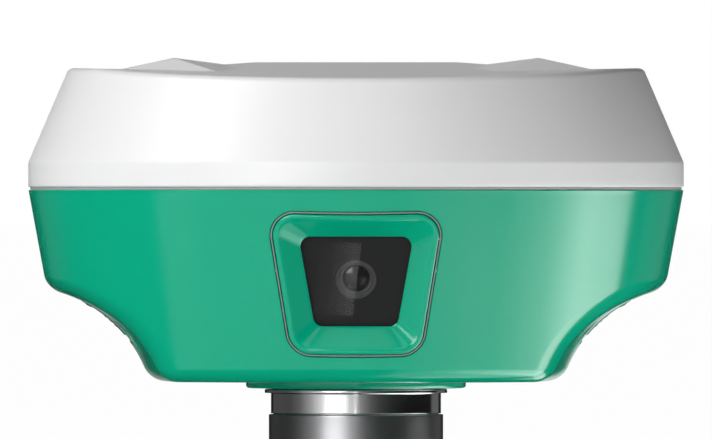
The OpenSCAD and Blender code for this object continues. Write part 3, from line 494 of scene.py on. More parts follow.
def makeSeal(name, shape):
    inner, outer = shape["sealGap"], shape["sealGap"] + shape["sealWidth"]
    half = shape["sealWidth"] / 2
    rings = [planeRing(shape, fourCorner(shape, outer), -4.4),
             skinRing(shape, fourCorner(shape, outer), -half - 0.05)]
    for a in np.radians(np.linspace(15, 165, 7)):
        grow = (inner + outer) / 2 + half * math.cos(a)
        rings.append(skinRing(shape, fourCorner(shape, grow), -half - 0.05 + half * math.sin(a)))
    rings += [skinRing(shape, fourCorner(shape, inner), -half - 0.05),
              planeRing(shape, fourCorner(shape, inner), -4.4)]
    return ringStack(name, np.array(rings))


def makeWindow():
    front, back, e = -window["front"], -window["front"] - window["thick"], 0.15
    grow = window["grow"]
    rings = [planeRing(camera, fourCorner(window, grow), back),
             planeRing(camera, fourCorner(window, grow), front - e)]
    for t in (0.5, 1.0):
        rings.append(planeRing(camera, fourCorner(window, grow - e * t), front - e * (1 - t)))
    return ringStack("cameraGlass", np.array(rings), closed=False)


lens = dict(radius=5.0, front=7.6, length=9.0, aperture=2.1, glass=3.3, bulge=0.8)


def onAxis(rings, shape=None):
    # turned pieces whose axis stands on the skin
    return onSkin(shape or camera, rings[..., 0], rings[..., 1], rings[..., 2])


def makeLens():
    front, glass, aperture = -lens["front"], lens["glass"], lens["aperture"]
    r = lens["radius"]
    barrel = [(aperture, front - 2.4), (glass - 0.45, front - 2.3), (glass, front - 1.6),
              (glass + 0.05, front - 0.35, 0.08), (glass + 0.45, front - 0.05, 0.1),
              (glass + 0.6, front - 0.3, 0.05), (glass + 0.75, front - 0.3, 0.05),
              (glass + 0.9, front, 0.08), (r - 0.05, front, 0.2), (r, front - 1.2),
              (r, front - lens["length"]), (aperture, front - lens["length"])]
    made = ringStack("lensBarrel", onAxis(turnRings(barrel, 128, 4)))
    r = glass - 0.02
    dome = [(r * t, front - 1.5 + lens["bulge"] * (1 - t * t)) for t in np.linspace(1, 0.03, 14)]
    dish = [(r * t, front - 1.6 - 0.3 * (1 - t * t)) for t in np.linspace(0.03, 1, 6)]
    return made, solidTurn("frontLens", dish + dome, onAxis)


# side flaps

flap = dict(halfWidth=21.0, top=26.0, foot=50.5, hingeAngle=54.0, hingeRadius=33.5, inner=33.2, outer=31.85,
            corner=2.4, edge=0.4, knuckle=1.25, knuckleLength=7.0, knuckleAt=14.5, bore=0.64,
            tab=(33.35, 32.75), seat=33.8, gap=0.35, pocketTop=25.0, portAngle=39.0)


def scoopPoint(r, degrees, y, side=1.0):
    a = np.radians(degrees)
    plan = scoop["path"] - r * np.sin(a)
    x = scoop["x"] - scoop["path"] + np.sqrt(plan ** 2 - y ** 2)
    return np.stack(np.broadcast_arrays(side * x, y, scoop["z"] + r * np.cos(a)), axis=-1)


def nearEdges(length, edge, middle):
    # places from 0 to length that lie close together at both ends
    ends = edge * np.array([0, 0.12, 0.28, 0.5, 0.75, 1.0, 1.6])
    inside = np.linspace(0, 1, middle + 2)[1:-1] * (length - 2 * ends[-1]) + ends[-1]
    return np.concatenate([ends, inside, length - ends[::-1]])


def cornerDrop(distance, r):
    d = np.clip(r - distance, 0, r)
    return r - np.sqrt(np.maximum(r * r - d * d, 0))


def scoopSolid(name, side, halfWidth, angles, radii, corner, edge=0.0, relief=None):
    # a curved plate that follows the side hollow; radii are inside and outside
    arc = math.radians(angles[1] - angles[0]) * scoop["radius"]
    s = nearEdges(arc, max(edge, 0.3), 22)
    c = nearEdges(2 * halfWidth, max(edge, 0.3), 60) / halfWidth - 1
    endway = np.minimum(s, arc - s)
    half = halfWidth - cornerDrop(endway, corner)
    y = half[:, None] * c[None, :]
    degrees = (angles[0] + np.degrees(s / scoop["radius"]))[:, None] + 0 * y
    away = np.minimum(endway[:, None] + 0 * y, half[:, None] - np.abs(y))
    drop = cornerDrop(away, edge) if edge else 0 * y
    raised = relief(s[:, None] + 0 * y, y, arc) if relief else 0 * y
    outside = scoopPoint(radii[1] + drop - raised, degrees, y, side)
    inside = scoopPoint(radii[0] + 0 * y, degrees, y, side)
    rows, columns = y.shape
    points = np.vstack([outside.reshape(-1, 3), inside.reshape(-1, 3)])
    base = rows * columns
    faces = gridFaces(rows, columns, closeColumns=False)
    faces += [[i + base for i in reversed(f)] for f in gridFaces(rows, columns, closeColumns=False)]
    border = [(0, j) for j in range(columns)] + [(i, columns - 1) for i in range(1, rows)]
    border += [(rows - 1, j) for j in range(columns - 2, -1, -1)] + [(i, 0) for i in range(rows - 2, 0, -1)]
    border = [i * columns + j for i, j in border]
    for a, b in zip(border, border[1:] + border[:1]):
        faces.append([a, a + base, b + base, b])
    return makeObject(name, points, faces)


def rod(name, centre, radius, length, around=32, bore=0.0):
    # a round rod or sleeve along Y
    e = min(0.15, length / 8)
    if bore:
        outline = np.array(roundCorners([(bore, -length / 2), (radius, -length / 2, e),
                                         (radius, length / 2, e), (bore, length / 2)], 3))
    else:
        outline = np.array([(radius - e, -length / 2), (radius, -length / 2 + e),
                            (radius, length / 2 - e), (radius - e, length / 2)])
    angle = fullTurn(around)
    r, along = outline[:, :1], outline[:, 1:] + 0 * angle[None, :]
    rings = np.stack([r * np.sin(angle), along, r * np.cos(angle)], axis=-1) + np.asarray(centre)
    return ringStack(name, rings, closed=bool(bore))


def flapRelief(s, y, arc):
    # a finger lip near the upper edge and three low ribs along the flap
    def bump(value, middle, half, soft):
        return np.clip((half - np.abs(value - middle)) / soft + 0.5, 0, 1)
    lip = 0.22 * bump(s, 2.2, 0.8, 0.7) * bump(y, 0, 6.5, 1.2)
    ribs = sum(0.14 * bump(s, arc * k, 0.35, 0.5) for k in (0.52, 0.64, 0.76)) * bump(y, 0, 15.5, 1.0)
    return lip + ribs


def makeFlap(name, side):
    plate = scoopSolid("plate", side, flap["halfWidth"], (flap["top"], flap["foot"]),
                       (flap["inner"], flap["outer"]), flap["corner"], flap["edge"], flapRelief)
    parts = [plate]
    hinge = scoopPoint(flap["hingeRadius"], flap["hingeAngle"], 0.0, side)
    for y in (-flap["knuckleAt"], flap["knuckleAt"]):
        parts.append(rod("knuckle", hinge + np.array([0, y, 0]), flap["knuckle"], flap["knuckleLength"],
                         bore=flap["bore"]))
        tab = scoopSolid("tab", side, flap["knuckleLength"] / 2 - 0.2,
                         (flap["foot"] - 2, flap["hingeAngle"] - 1.2), flap["tab"], 0.2)
        shift = scoopPoint(33.0, 52.0, y, side) - scoopPoint(33.0, 52.0, 0.0, side)
        tab.data.transform(Matrix.Translation([float(v) * mm for v in shift]))
        parts.append(tab)
    return join(name, parts)


def pocketCutter(side):
    return scoopSolid("pocket", side, flap["halfWidth"] + flap["gap"],
                      (flap["pocketTop"], flap["hingeAngle"]), (flap["seat"], scoop["radius"] - 3.5),
                      flap["corner"] + 0.3)


def hingeRoom(side):
    hinge = scoopPoint(flap["hingeRadius"], flap["hingeAngle"], 0.0, side)
    return rod("room", hinge, flap["knuckle"] + 0.3, 2 * (flap["halfWidth"] + flap["gap"]))


def portCutter(side, y, halfWidth, halfHeight, corner):
    # a straight hole into the hollow's wall at the sockets
    a = math.radians(180 - flap["portAngle"])
    centre = scoopPoint(scoop["radius"], flap["portAngle"], 0.0, 1.0)
    flat = halfWidth - corner
    shape = dict(top=flat, bottom=flat, halfHeight=halfHeight - corner, corner=corner)
    outline = fourCorner(shape, 0, 8, 2)
    rings = []
    for out in (-9.0, 0.5):
        x = centre[0] + outline[:, 1] * math.cos(a) + out * math.sin(a)
        z = centre[2] - outline[:, 1] * math.sin(a) + out * math.cos(a)
        rings.append(np.stack([side * x, y + outline[:, 0], z], axis=-1))
    return ringStack("port", rings, closed=False)


def column(radius, low, high, x=0.0, y=0.0, around=48):
    angle = fullTurn(around)
    rings = [np.stack([x + radius * np.cos(angle), y + radius * np.sin(angle), z + 0 * angle], axis=-1)
             for z in (low, high)]
    return ringStack("column", rings, closed=False)


# openings in the lower shell

underside = dict(screwCircle=63.0, screwAngles=(30, 150, 210, 330), wellRadius=3.1, postRadius=4.4,
                 seat=76.1, hub=12.65, radioAt=46.0, radioRadius=5.15, ventAt=-40.0, ventRadius=4.15,
                 speakerAt=(-52.0, -49.0), speakerRadius=0.8, speakerPitch=3.0)
# side, place along the hollow, half width, half height, corner
ports = [(1.0, -9.0, 4.9, 2.0, 1.9), (1.0, 9.0, 6.9, 1.7, 0.3), (-1.0, 0.0, 6.0, 6.0, 5.99)]


def screwPost(x, y):
    # its foot lies inside the wall, which is the side hollow here
    angle = fullTurn(64)
    px, py = x + underside["postRadius"] * np.cos(angle), y + underside["postRadius"] * np.sin(angle)
    across = np.hypot(np.abs(px) - (scoop["x"] - scoop["path"]), py) - scoop["path"]
    foot = scoop["z"] + np.sqrt(np.maximum(scoop["radius"] ** 2 - across ** 2, 0)) + 2.0
    return ringStack("post", [np.stack([px, py, z], axis=-1) for z in (foot, 78.5 + 0 * px)], closed=False)


def openShell():
    posts, holes = [], []
    for angle in np.radians(underside["screwAngles"]):
        x, y = underside["screwCircle"] * math.cos(angle), underside["screwCircle"] * math.sin(angle)
        posts.append(screwPost(x, y))
        holes.append(column(underside["wellRadius"], body["under"] - 2, underside["seat"], x, y))
    holes.append(skinCutter(camera, camera["opening"], 0.12))
    holes.append(skinCutter(panel, panel["opening"], 0.15))
    for side in (-1.0, 1.0):
        carve(lowerShell, pocketCutter(side))
        holes.append(hingeRoom(side))
    for port in ports:
        holes.append(portCutter(*port))
    low, high = body["under"] - 2, body["under"] + 6
    holes.append(column(underside["hub"], low, high, around=96))
    holes.append(column(underside["radioRadius"], low, high, 0, underside["radioAt"]))
    holes.append(column(underside["ventRadius"], low, high, 0, underside["ventAt"]))
    for y in underside["speakerAt"]:
        for i in range(-2, 3):
            x = i * underside["speakerPitch"]
            holes.append(column(underside["speakerRadius"], low, high, x, y, around=24))
    carve(lowerShell, join("posts", posts), "UNION")
    carve(lowerShell, join("holes", holes))


openShell()
cameraHood = makeHood()
hoodSeal = makeSeal("hoodSeal", camera)
cameraGlass = makeWindow()
lensBarrel, frontLens = makeLens()
leftFlap = makeFlap("leftFlap", -1.0)
rightFlap = makeFlap("rightFlap", 1.0)
print("hood, window, lens and flaps made")


# control panel at the back

def makePanel():
    p = panel
    rings = [planeRing(p, fourCorner(p, 0), -p["back"])] + edgeRings(p, -1.5, p["edge"], p["proud"])
    rim = fourCorner(p, -p["edge"])
    for share in np.linspace(1, 0.04, 16)[1:]:
        rings.append(skinRing(p, rim * share, p["proud"]))
    made = ringStack("controlPanel", np.array(rings), closed=False)
    holes = []
    r = p["button"] / 2 + 0.15
    outline = [(r, -8.0), (r, -0.1), (r + 0.3, 0.75), (r + 0.3, 3.0)]
    holes.append(solidTurn("hole", outline, lambda rings: onAxis(rings, p)))
    for i in (-1.5, -0.5, 0.5, 1.5):
        at = i * p["pitch"]
        place = lambda rings, at=at: onAxis(rings + np.array([at, p["lightUp"], 0.0]), p)
        holes.append(solidTurn("hole", [(p["light"] / 2, -8.0), (p["light"] / 2, 3.0)], place, around=40))
    carve(made, join("holes", holes))
    return made


def makeButton():
    r, high = panel["button"] / 2, panel["buttonProud"]
    corners = [(2.0, -5.6), (2.0, -4.2), (r, -4.2), (r, high, 0.45), (r - 1.0, high, 0.2),
               (r - 1.3, high - 0.18, 0.2), (3.2, high - 0.34), (2.4, high - 0.36, 0.1),
               (2.3, high - 0.2, 0.08), (1.9, high - 0.2, 0.08), (1.8, high - 0.36, 0.1),
               (0.2, high - 0.38)]
    return solidTurn("powerButton", corners, lambda rings: onAxis(rings, panel))


controlPanel = makePanel()
panelSeal = makeSeal("panelSeal", panel)
powerButton = makeButton()


# mount disc and pole adapter

adapter = dict(sleeve=21.0, base=8.0, groove=33.72, grooveRadius=19.9, top=33.9, neck=20.5, flange=22.0,
               flangeLow=38.85, high=39.7, disc=26.5, discLow=40.0, spigot=12.0, room=17.5,
               threadMinor=6.8, threadDeep=0.62, pitch=2.309, slot=7.1, slotLow=18.9, slotHigh=23.1,
               grips=72, gripDeep=0.22)


def makeAdapter():
    a = adapter
    under = body["under"] - 0.02
    disc = lathe("mountDisc", [(10.1, a["discLow"]), (a["disc"], a["discLow"], 0.7), (a["disc"], under),
                               (12.5, under), (12.5, 57.0), (10.1, 57.0)], around=256)
    head = lathe("adapterHead", [(8.1, 26.0), (a["spigot"], 26.0), (a["spigot"], a["top"] + 0.02),
                                 (a["neck"], a["top"] + 0.02, 0.12), (a["neck"], a["top"] + 0.3),
                                 (a["neck"], a["flangeLow"] - 0.4), (a["neck"], a["flangeLow"], 0.15),
                                 (a["flange"], a["flangeLow"], 0.1), (a["flange"], a["high"] + 0.1, 0.3),
                                 (8.1, a["high"] + 0.1)], around=256)
    sleeve = lathe("adapterSleeve", [(a["room"], a["base"] + 0.03), (a["sleeve"], a["base"] + 0.03, 0.3),
                                     (a["sleeve"], a["base"] + 0.7), (a["sleeve"], a["groove"] - 0.6),
                                     (a["sleeve"], a["groove"], 0.2), (a["grooveRadius"], a["groove"]),
                                     (a["grooveRadius"], a["top"]),
                                     (a["spigot"] + 0.05, a["top"]), (a["spigot"] + 0.05, a["slotHigh"]),
                                     (a["room"], a["slotHigh"])], around=256)
    shape = dict(top=a["slot"] - 0.8, bottom=a["slot"] - 0.8, corner=0.8,
                 halfHeight=(a["slotHigh"] - a["slotLow"]) / 2 - 0.8)
    outline = fourCorner(shape, 0, 8, 2)
    middle = (a["slotLow"] + a["slotHigh"]) / 2
    ends = [np.stack([-outline[:, 0], 0 * outline[:, 0] + y, middle + outline[:, 1]], axis=-1)
            for y in (8.0, 30.0)]
    carve(sleeve, ringStack("slot", ends, closed=False))
    return disc, head, sleeve


def baseShape(outline, angle):
    # grips round the outside and a screw thread in the bore
    r, z = outline[:, :1], outline[:, 1:]
    grips = (0.5 - 0.5 * np.cos(adapter["grips"] * angle)) ** 1.5 * adapter["gripDeep"]
    outside = r > adapter["sleeve"] - 0.05
    onGrip = np.clip((z - 1.0) / 0.5, 0, 1) * np.clip((6.9 - z) / 0.5, 0, 1) * outside
    turn = (z / adapter["pitch"] - angle / (2 * np.pi)) % 1.0
    ridge = np.clip(np.abs(turn - 0.5) * 2 * 1.25 - 0.1, 0, 1)
    inBore = np.abs(r - adapter["threadMinor"]) < 0.05
    ends = np.clip((z - 0.6) / 0.8, 0, 1) * np.clip((11.6 - z) / 0.8, 0, 1) * inBore
    return ends * ridge * adapter["threadDeep"] - onGrip * grips


def makeBase():
    a = adapter
    corners = [(8.0, 0.0), (a["sleeve"], 0.0, 0.6)]
    corners += [(a["sleeve"], z) for z in np.arange(1.0, 7.2, 0.5)]
    corners += [(a["sleeve"], a["base"] - 0.03, 0.3), (a["room"] - 0.02, a["base"] - 0.03),
                (a["room"] - 0.02, a["slotLow"]), (a["spigot"] + 0.05, a["slotLow"]),
                (a["spigot"] + 0.05, 12.0)]
    corners += [(a["threadMinor"], z) for z in np.arange(12.0, 1.1, -0.15)]
    return lathe("sleeveBase", corners, around=720, radial=baseShape, sharpAngle=40)


mountDisc, adapterHead, adapterSleeve = makeAdapter()
sleeveBase = makeBase()
seamRing = lathe("seamRing", [(75.0, body["seam"] - 0.33), (78.5, body["seam"] - 0.33, 0.2),
                              (78.5, body["seam"] + 0.33, 0.2), (75.0, body["seam"] + 0.33)], around=512)
print("panel, adapter and seam ring made")

standsFor = {
    topCover: "top_cover", lowerShell: "lower_shell", cameraHood: "camera_hood", hoodSeal: "hood_gasket",
    cameraGlass: "camera_window", lensBarrel: "lens_barrel", frontLens: "front_lens",
    controlPanel: "control_panel", panelSeal: "panel_seal", mountDisc: "mount_disc",
    adapterHead: "adapter_head", adapterSleeve: "adapter_sleeve",
    sleeveBase: "sleeve_base", seamRing: "seam_gasket", powerButton: "power_button", leftFlap: "left_flap",
    rightFlap: "right_flap"}
ridesOn = {powerButton: "power_key", leftFlap: "left_cover", rightFlap: "right_cover"}
for piece, node in standsFor.items():
    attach(piece, ridesOn.get(piece, housing))
    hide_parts(node)


# shader nodes

class Wire:
    # a socket that can be used in sums
    def __init__(self, kit, socket):
        self.kit = kit
        self.socket = socket

    def math(self, operation, a, b):
        return self.kit.node("ShaderNodeMath", {"operation": operation}, {0: a, 1: b})

    def __add__(self, other):
        return self.math("ADD", self, other)

    def __sub__(self, other):
        return self.math("SUBTRACT", self, other)

    def __mul__(self, other):
        return self.math("MULTIPLY", self, other)


class Kit:
    # the nodes of one material or of the world
    def __init__(self, owner):
        owner.use_nodes = True
        self.tree = owner.node_tree
        self.tree.nodes.clear()
        self.column = 0

    def make(self, kind, settings=None, inputs=None):
        made = self.tree.nodes.new(kind)
        made.location = (self.column * 180, 0)
        self.column += 1
        for key, value in (settings or {}).items():
            setattr(made, key, value)
        for key, value in (inputs or {}).items():
            if isinstance(value, Wire):
                self.tree.links.new(value.socket, made.inputs[key])
            else:
                made.inputs[key].default_value = value
        return made

    def node(self, kind, settings=None, inputs=None, output=0):
        return Wire(self, self.make(kind, settings, inputs).outputs[output])

    def place(self, stretch=(1, 1, 1)):
        spot = self.node("ShaderNodeTexCoord", output="Object")
        return self.node("ShaderNodeVectorMath", {"operation": "MULTIPLY"}, {0: spot, 1: stretch})

    def noise(self, spot, size, detail=2.0, rough=0.5):
        return self.node("ShaderNodeTexNoise", {}, {"Vector": spot, "Scale": 1 / (size * mm),
                                                    "Detail": detail, "Roughness": rough})

    def mix(self, share, first, second):
        tone = lambda c: c if isinstance(c, Wire) else (*c, 1)
        sockets = {0: share, 6: tone(first), 7: tone(second)}
        return self.node("ShaderNodeMix", {"data_type": "RGBA"}, sockets, output=2)

    def bump(self, height, depth):
        return self.node("ShaderNodeBump", {}, {"Height": height, "Distance": depth * mm, "Strength": 1.0})

    def finish(self, shader):
        out = self.make("ShaderNodeOutputMaterial")
        self.tree.links.new(shader.outputs[0], out.inputs[0])


def shade(tone, share):
    return tuple(max(0.0, min(1.0, c * share)) for c in tone)


finishes = {}


def surface(name, tone, build, constants=None):
    material = bpy.data.materials.new(name)
    kit = Kit(material)
    kit.finish(kit.make("ShaderNodeBsdfPrincipled", {}, {**(constants or {}), **build(kit, tone)}))
    material.diffuse_color = (*tone, 1)
    finishes[name] = material


def moulded(grain=0.4, depth=0.01, roughness=0.4, mottle=0.03, ripple=0.0, sparkle=0.06):
    # moulded or painted surfaces: fine grain, slight cloudiness and a gentle ripple
    def build(kit, tone):
        spot = kit.place()
        fine = kit.noise(spot, grain, 3.0, 0.6)
        cloud = kit.noise(spot, 22.0, 2.0)
        height = fine
        if ripple:
            height = fine + kit.noise(spot, 2.6, 1.0) * ripple
        return {"Base Color": kit.mix(cloud, shade(tone, 1 - mottle), shade(tone, 1 + mottle)),
                "Roughness": (fine - 0.5) * sparkle + (cloud - 0.5) * 0.05 + roughness,
                "Normal": kit.bump(height, depth)}
    return build


def turned(size=0.25, depth=0.002, roughness=0.3, stretch=(0.02, 0.02, 1.0), mottle=0.06, grit=0.1):
    # machined metal: fine lines round the axis
    def build(kit, tone):
        lines = kit.noise(kit.place(stretch), size, 2.0, 0.7)
        cloud = kit.noise(kit.place(), 9.0, 3.0, 0.6)
        grain = kit.noise(kit.place(), 0.5, 2.0, 0.6)
        return {"Base Color": kit.mix(cloud, shade(tone, 1 - mottle), shade(tone, 1 + mottle)),
                "Roughness": (cloud - 0.5) * 0.12 + (grain - 0.5) * grit + roughness,
                "Normal": kit.bump(lines + grain * 0.4, depth)}
    return build


def makeFinishes():
    metal = {"Metallic": 1.0}
    surface("whitePlastic", (0.80, 0.80, 0.805), moulded(0.45, 0.012, 0.38, 0.012), {"IOR": 1.5})
    surface("greenPaint", (0.0, 0.385, 0.222), moulded(0.55, 0.004, 0.16, 0.025, ripple=0.8, sparkle=0.03),
            {"IOR": 1.47})
    surface("darkRubber", (0.035, 0.037, 0.038), moulded(0.3, 0.02, 0.7))
    surface("sealRubber", (0.23, 0.30, 0.27), moulded(0.25, 0.01, 0.6))
    surface("seamRubber", (0.40, 0.40, 0.40), moulded(0.25, 0.01, 0.6))
    surface("flapRubber", (0.008, 0.19, 0.12), moulded(0.35, 0.02, 0.55))
    surface("buttonRubber", (0.35, 0.03, 0.012), moulded(0.3, 0.012, 0.5))
    surface("blackPlastic", (0.012, 0.012, 0.013), moulded(0.35, 0.015, 0.45))
    surface("panelPlastic", (0.02, 0.021, 0.022), moulded(0.3, 0.012, 0.4))
    surface("clearPlastic", (0.75, 0.78, 0.74), moulded(0.3, 0.004, 0.25), {"Transmission Weight": 0.35})
    surface("windowGlass", (0.002, 0.002, 0.0022), moulded(6.0, 0.00002, 0.012, 0.0, sparkle=0.004),
            {"Alpha": 0.30, "IOR": 1.33})
    surface("lensGlass", (0.012, 0.011, 0.016), moulded(2.0, 0.0002, 0.04, 0.0, sparkle=0.01),
            {"Coat Weight": 0.6, "Coat Roughness": 0.02, "IOR": 1.7})
    surface("blackMetal", (0.30, 0.30, 0.31), turned(0.3, 0.002, 0.4, (1, 1, 1)), {"Metallic": 0.1})
    surface("polishedSteel", (0.62, 0.62, 0.63), turned(0.22, 0.0002, 0.15, mottle=0.02, grit=0.01), metal)
    surface("sleeveSteel", (0.34, 0.34, 0.35), turned(0.35, 0.0006, 0.31, mottle=0.03, grit=0.03), metal)
    surface("screwSteel", (0.5, 0.5, 0.5), turned(0.3, 0.003, 0.35), metal)
    surface("insertBrass", (0.72, 0.50, 0.20), turned(0.3, 0.003, 0.32), metal)
    surface("castAlloy", (0.45, 0.46, 0.47), moulded(0.5, 0.03, 0.5), metal)
    surface("shieldSteel", (0.62, 0.62, 0.60), moulded(1.2, 0.01, 0.35), metal)
    surface("patchCeramic", (0.62, 0.52, 0.36), moulded(0.2, 0.01, 0.5, 0.05))
    surface("board", (0.01, 0.09, 0.04), moulded(0.8, 0.02, 0.4, 0.2), {"Coat Weight": 0.4})
    surface("ribbonFilm", (0.45, 0.22, 0.03), moulded(0.6, 0.004, 0.3))
    surface("cellWrap", (0.03, 0.10, 0.30), moulded(1.5, 0.01, 0.3, 0.05))


makeFinishes()

pieceFinish = {
    topCover: "whitePlastic", lowerShell: "greenPaint", cameraHood: "greenPaint", hoodSeal: "sealRubber",
    panelSeal: "darkRubber", seamRing: "seamRubber", cameraGlass: "windowGlass", lensBarrel: "blackMetal",
    frontLens: "lensGlass", controlPanel: "panelPlastic", powerButton: "buttonRubber",
    leftFlap: "flapRubber", rightFlap: "flapRubber", mountDisc: "greenPaint",
    adapterHead: "polishedSteel", adapterSleeve: "sleeveSteel", sleeveBase: "sleeveSteel"}
# lighter rubbers that share the record's dark_rubber slot
sharedSlot = {"sealRubber": "dark_rubber", "seamRubber": "dark_rubber"}


def slotOf(finish):
    # the record's name for a finish: greenPaint is green_paint there
    plain = "".join("_" + c.lower() if c.isupper() else c for c in finish)
    return sharedSlot.get(finish, plain)


slotFinish = {slotOf(name): name for name in finishes if name not in sharedSlot}


def dress(piece, finish):
    piece.data.materials.clear()
    piece.data.materials.append(finishes[finish])


for piece, finish in pieceFinish.items():
    dress(piece, finish)
    slotOf(finish)

nodeSlot = {}
for row in frame["record"].get("materials", []):
    for name in row.get("nodes", []):
        nodeSlot[name] = row["slot"]
print("slots found for", len(nodeSlot), "nodes")
for name, node in frame["nodes"].items():
    if not node.hide_render:
        for place in node.material_slots:
            place.material = finishes[slotFinish[nodeSlot.get(name, "black_plastic")]]
        soften = node.modifiers.new("soften", "BEVEL")
        soften.width = 0.12 * mm
        soften.segments = 2
        soften.limit_method = "ANGLE"
        soften.angle_limit = math.radians(40)
print("finishes applied")


# floor, lights and camera

studio = dict(floorTone=(0.82, 0.82, 0.82), cameraGlow=1.06, cameraShare=0.93, floorHalf=60.0,
              floorGap=0.0004, ambient=0.02)
lamps = {
    # name: azimuth, elevation, distance (m), width, height (m), watts, seen in reflections
    "key": (-68, 45, 1.15, 0.60, 0.50, 7.0, True),
    "front": (-28, 12, 1.15, 0.60, 0.50, 6.8, True),
    "low": (84, -17, 0.215, 0.16, 0.05, 0.115, False),
    "lowFront": (44, -17, 0.225, 0.16, 0.05, 0.14, False),
    "backRight": (163, 22, 1.3, 0.60, 0.50, 2.4, False),
    "backLeft": (-163, 22, 1.3, 0.60, 0.50, 2.4, False),
}
# what shiny surfaces see round the object: azimuths from and to, elevations from and to, brightness
glossPanels = [
    (-75.5, -40, -25, -15, 0.70), (-40, -5, -25, -15.5, 0.78), (-5, 20, -25, -15.5, 0.85),
    (20, 40, -25, -15.5, 1.05), (40, 58, -25, -15.5, 1.4), (58, 66, -25, -14.5, 2.1),
    (66, 74, -25, -13.5, 3.0), (74, 80, -25, -12.5, 4.2), (80, 86, -25, -11.5, 6.0),
    (86, 98, -25, -11, 7.6), (98, 106, -25, -10.5, 6.2), (106, 114.5, -25, -10, 5.0),
    (18, 32, -52, -25, 0.9), (32, 45, -52, -25, 2.1), (45, 58, -52, -25, 3.6), (58, 74, -52, -25, 5.2),
    (74, 90, -52, -25, 7.0), (90, 115, -52, -25, 8.0), (20, 60, -80, -52, 1.4), (60, 115, -80, -52, 2.6),
    (115, 150, -52, -28, 4.0), (-75, -58, -15, -12, 1.2), (-25, 30, 36, 54, 1.1), (124, 150, -10, 10, 0.16),
    (172, 178, -16, 12, 0.9), (178, 184, -16, 12, 0.6), (184, 188, -16, 12, 0.35)]
# what the steel neck mirrors at its own height: azimuths and brightness
steelRing = dict(azimuths=(-152, -126, -100, -81, -64, -49, -35, -21, -7, 6, 20, 33, 48, 66),
                 levels=(0.08, 0.09, 0.085, 0.17, 0.46, 1.0, 1.4, 1.4, 0.85, 0.34, 0.13, 0.06, 0.03, 0.015),
                 low=-8, high=6, step=4)
windowCard = dict(distance=0.12, middle=0.3, slant=0.125,
                  strips=[(-2.2, 0, 6.0), (-4.2, -2.2, 4.4), (-6.4, -4.2, 3.0), (-10, -6.4, 1.6)])
# the dark room that shiny surfaces see behind the cards; sizes in metres
glossRoom = dict(radius=2.0, ringRadius=1.98, apart=0.01, wall=2.2, top=62, dark=0.012, middle=0.06)


def aim(azimuth, elevation, distance, target=(0, 0, 0.075)):
    a, e = math.radians(azimuth), math.radians(elevation)
    back = Vector((math.sin(a) * math.cos(e), -math.cos(a) * math.cos(e), math.sin(e)))
    return Vector(target) + back * distance, back.to_track_quat("Z", "Y")


def makeLamps():
    for name, (azimuth, elevation, distance, width, height, watts, shiny) in lamps.items():
        data = bpy.data.lights.new(name, "AREA")
        data.shape = "RECTANGLE"
        data.size, data.size_y, data.energy = width, height, watts
        lamp = bpy.data.objects.new(name, data)
        bpy.context.scene.collection.objects.link(lamp)
        lamp.rotation_mode = "QUATERNION"
        lamp.location, lamp.rotation_quaternion = aim(azimuth, elevation, distance)
        lamp.visible_camera = False
        lamp.visible_glossy = shiny


def glowFinish(name, strength):
    material = bpy.data.materials.new(name)
    kit = Kit(material)
    kit.finish(kit.make("ShaderNodeEmission", {}, {"Color": (1, 1, 1, 1), "Strength": strength}))
    return material


def glossCard(name, points, faces, strength):
    # a card that only shiny surfaces can see
    mesh = bpy.data.meshes.new(name)
    mesh.from_pydata(points, [], faces)
    mesh.materials.append(glowFinish(name, strength))
    card = bpy.data.objects.new(name, mesh)
    bpy.context.scene.collection.objects.link(card)
    card.visible_camera = card.visible_diffuse = card.visible_shadow = card.visible_transmission = False
    card.visible_volume_scatter = False


def domePatch(name, start, end, low, high, radius, strength):
    # part of a sphere round the object
    across, up = max(2, int((end - start) / 5)), max(2, int((high - low) / 5))
    points = []
    for j in range(up + 1):
        e = math.radians(low + (high - low) * j / up)
        for i in range(across + 1):
            a = math.radians(start + (end - start) * i / across)
            points.append((math.sin(a) * math.cos(e) * radius, -math.cos(a) * math.cos(e) * radius,
                           math.sin(e) * radius + glossRoom["middle"]))
    n = across + 1
    faces = [(j * n + i, j * n + i + 1, (j + 1) * n + i + 1, (j + 1) * n + i)
             for j in range(up) for i in range(across)]
    glossCard(name, points, faces, strength)


def makeWindowCard():
    # strips that the flat camera window mirrors, with one slanted edge
    lean = shellLean
    normal = Vector((0, -math.cos(lean), -math.sin(lean)))
    toEye = Vector((0, -1, 0))
    away = (2 * normal.dot(toEye) * normal - toEye) * windowCard["distance"]
    edge = lambda up: windowCard["middle"] + windowCard["slant"] * up
    for k, (start, end, strength) in enumerate(windowCard["strips"]):
        corners = [(edge(up) + across, up) for up, across in ((-9, start), (-9, end), (9, end), (9, start))]
        points = []
        for across, up in corners:
            place = onSkin(camera, np.array(across), np.array(float(up)), np.array(-window["front"]))
            points.append(Vector([float(v) * mm for v in place]) + away)
        glossCard("windowCard%d" % k, points, [(0, 1, 2, 3)], strength)


def makeCards():
    makeWindowCard()
    ring = steelRing
    for start in range(ring["azimuths"][0], ring["azimuths"][-1], ring["step"]):
        level = np.interp(start + ring["step"] / 2, ring["azimuths"], ring["levels"])
        domePatch("ringCard%d" % (start + 200), start, start + ring["step"], ring["low"], ring["high"],
                  glossRoom["ringRadius"], float(level))
    for k, (start, end, low, high, strength) in enumerate(glossPanels):
        radius = glossRoom["radius"] - glossRoom["apart"] * k
        domePatch("glossPanel%d" % k, start, end, low, high, radius, strength)
    domePatch("glossRoom", -180, 180, -89, glossRoom["top"], glossRoom["wall"], glossRoom["dark"])


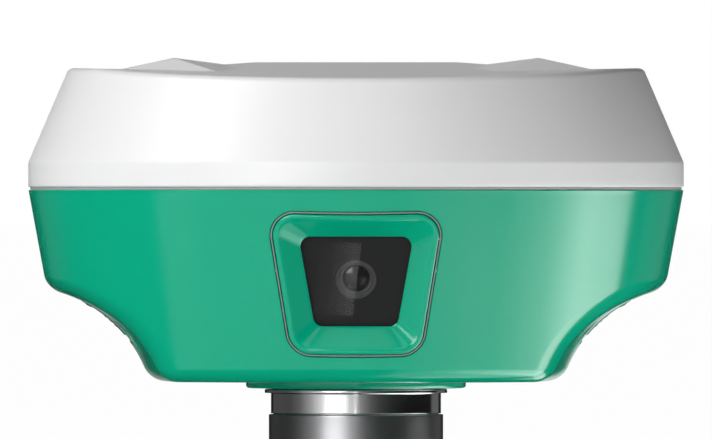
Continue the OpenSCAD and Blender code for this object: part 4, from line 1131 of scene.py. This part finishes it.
def makeFloor():
    half = studio["floorHalf"]
    mesh = bpy.data.meshes.new("floor")
    z = cadLow.z - studio["floorGap"]
    corners = [(-half, -half, z), (half, -half, z), (half, half, z), (-half, half, z)]
    mesh.from_pydata(corners, [], [(0, 1, 2, 3)])
    floor = bpy.data.objects.new("floor", mesh)
    bpy.context.scene.collection.objects.link(floor)
    material = bpy.data.materials.new("floorPaper")
    kit = Kit(material)
    tone = studio["floorTone"]
    grain = kit.mix(kit.noise(kit.place(), 60.0), shade(tone, 0.99), tone)
    paper = kit.node("ShaderNodeBsdfDiffuse", {}, {"Color": grain})
    glow = kit.node("ShaderNodeEmission", {}, {"Color": (1, 1, 1, 1), "Strength": studio["cameraGlow"]})
    seen = kit.node("ShaderNodeLightPath", output="Is Camera Ray") * studio["cameraShare"]
    kit.finish(kit.make("ShaderNodeMixShader", {}, {0: seen, 1: paper, 2: glow}))
    mesh.materials.append(material)
    floor.visible_glossy = False


def makeWorld():
    world = bpy.data.worlds.new("studio")
    bpy.context.scene.world = world
    kit = Kit(world)
    path = kit.make("ShaderNodeLightPath")
    seen = Wire(kit, path.outputs["Is Camera Ray"]) + Wire(kit, path.outputs["Is Glossy Ray"]) \
        + Wire(kit, path.outputs["Is Transmission Ray"])
    strength = seen * (1.0 - studio["ambient"]) + studio["ambient"]
    sky = kit.make("ShaderNodeBackground", {}, {"Color": (1, 1, 1, 1), "Strength": strength})
    out = kit.make("ShaderNodeOutputWorld")
    kit.tree.links.new(sky.outputs[0], out.inputs[0])


view = dict(distance=4.8, height=88.1 * mm, lens=1007.0, sensor=36.0, tilt=0.0894)


def makeCamera():
    data = bpy.data.cameras.new("camera")
    data.lens, data.sensor_width, data.clip_start, data.clip_end = view["lens"], view["sensor"], 0.05, 50
    eye = bpy.data.objects.new("camera", data)
    bpy.context.scene.collection.objects.link(eye)
    eye.location = (0, -view["distance"], view["height"])
    eye.rotation_euler = (math.radians(90 - view["tilt"]), 0, 0)
    bpy.context.scene.camera = eye


makeLamps()
makeCards()
makeFloor()
makeWorld()
makeCamera()
bpy.context.scene.view_settings.view_transform = "Standard"
print("stage set")
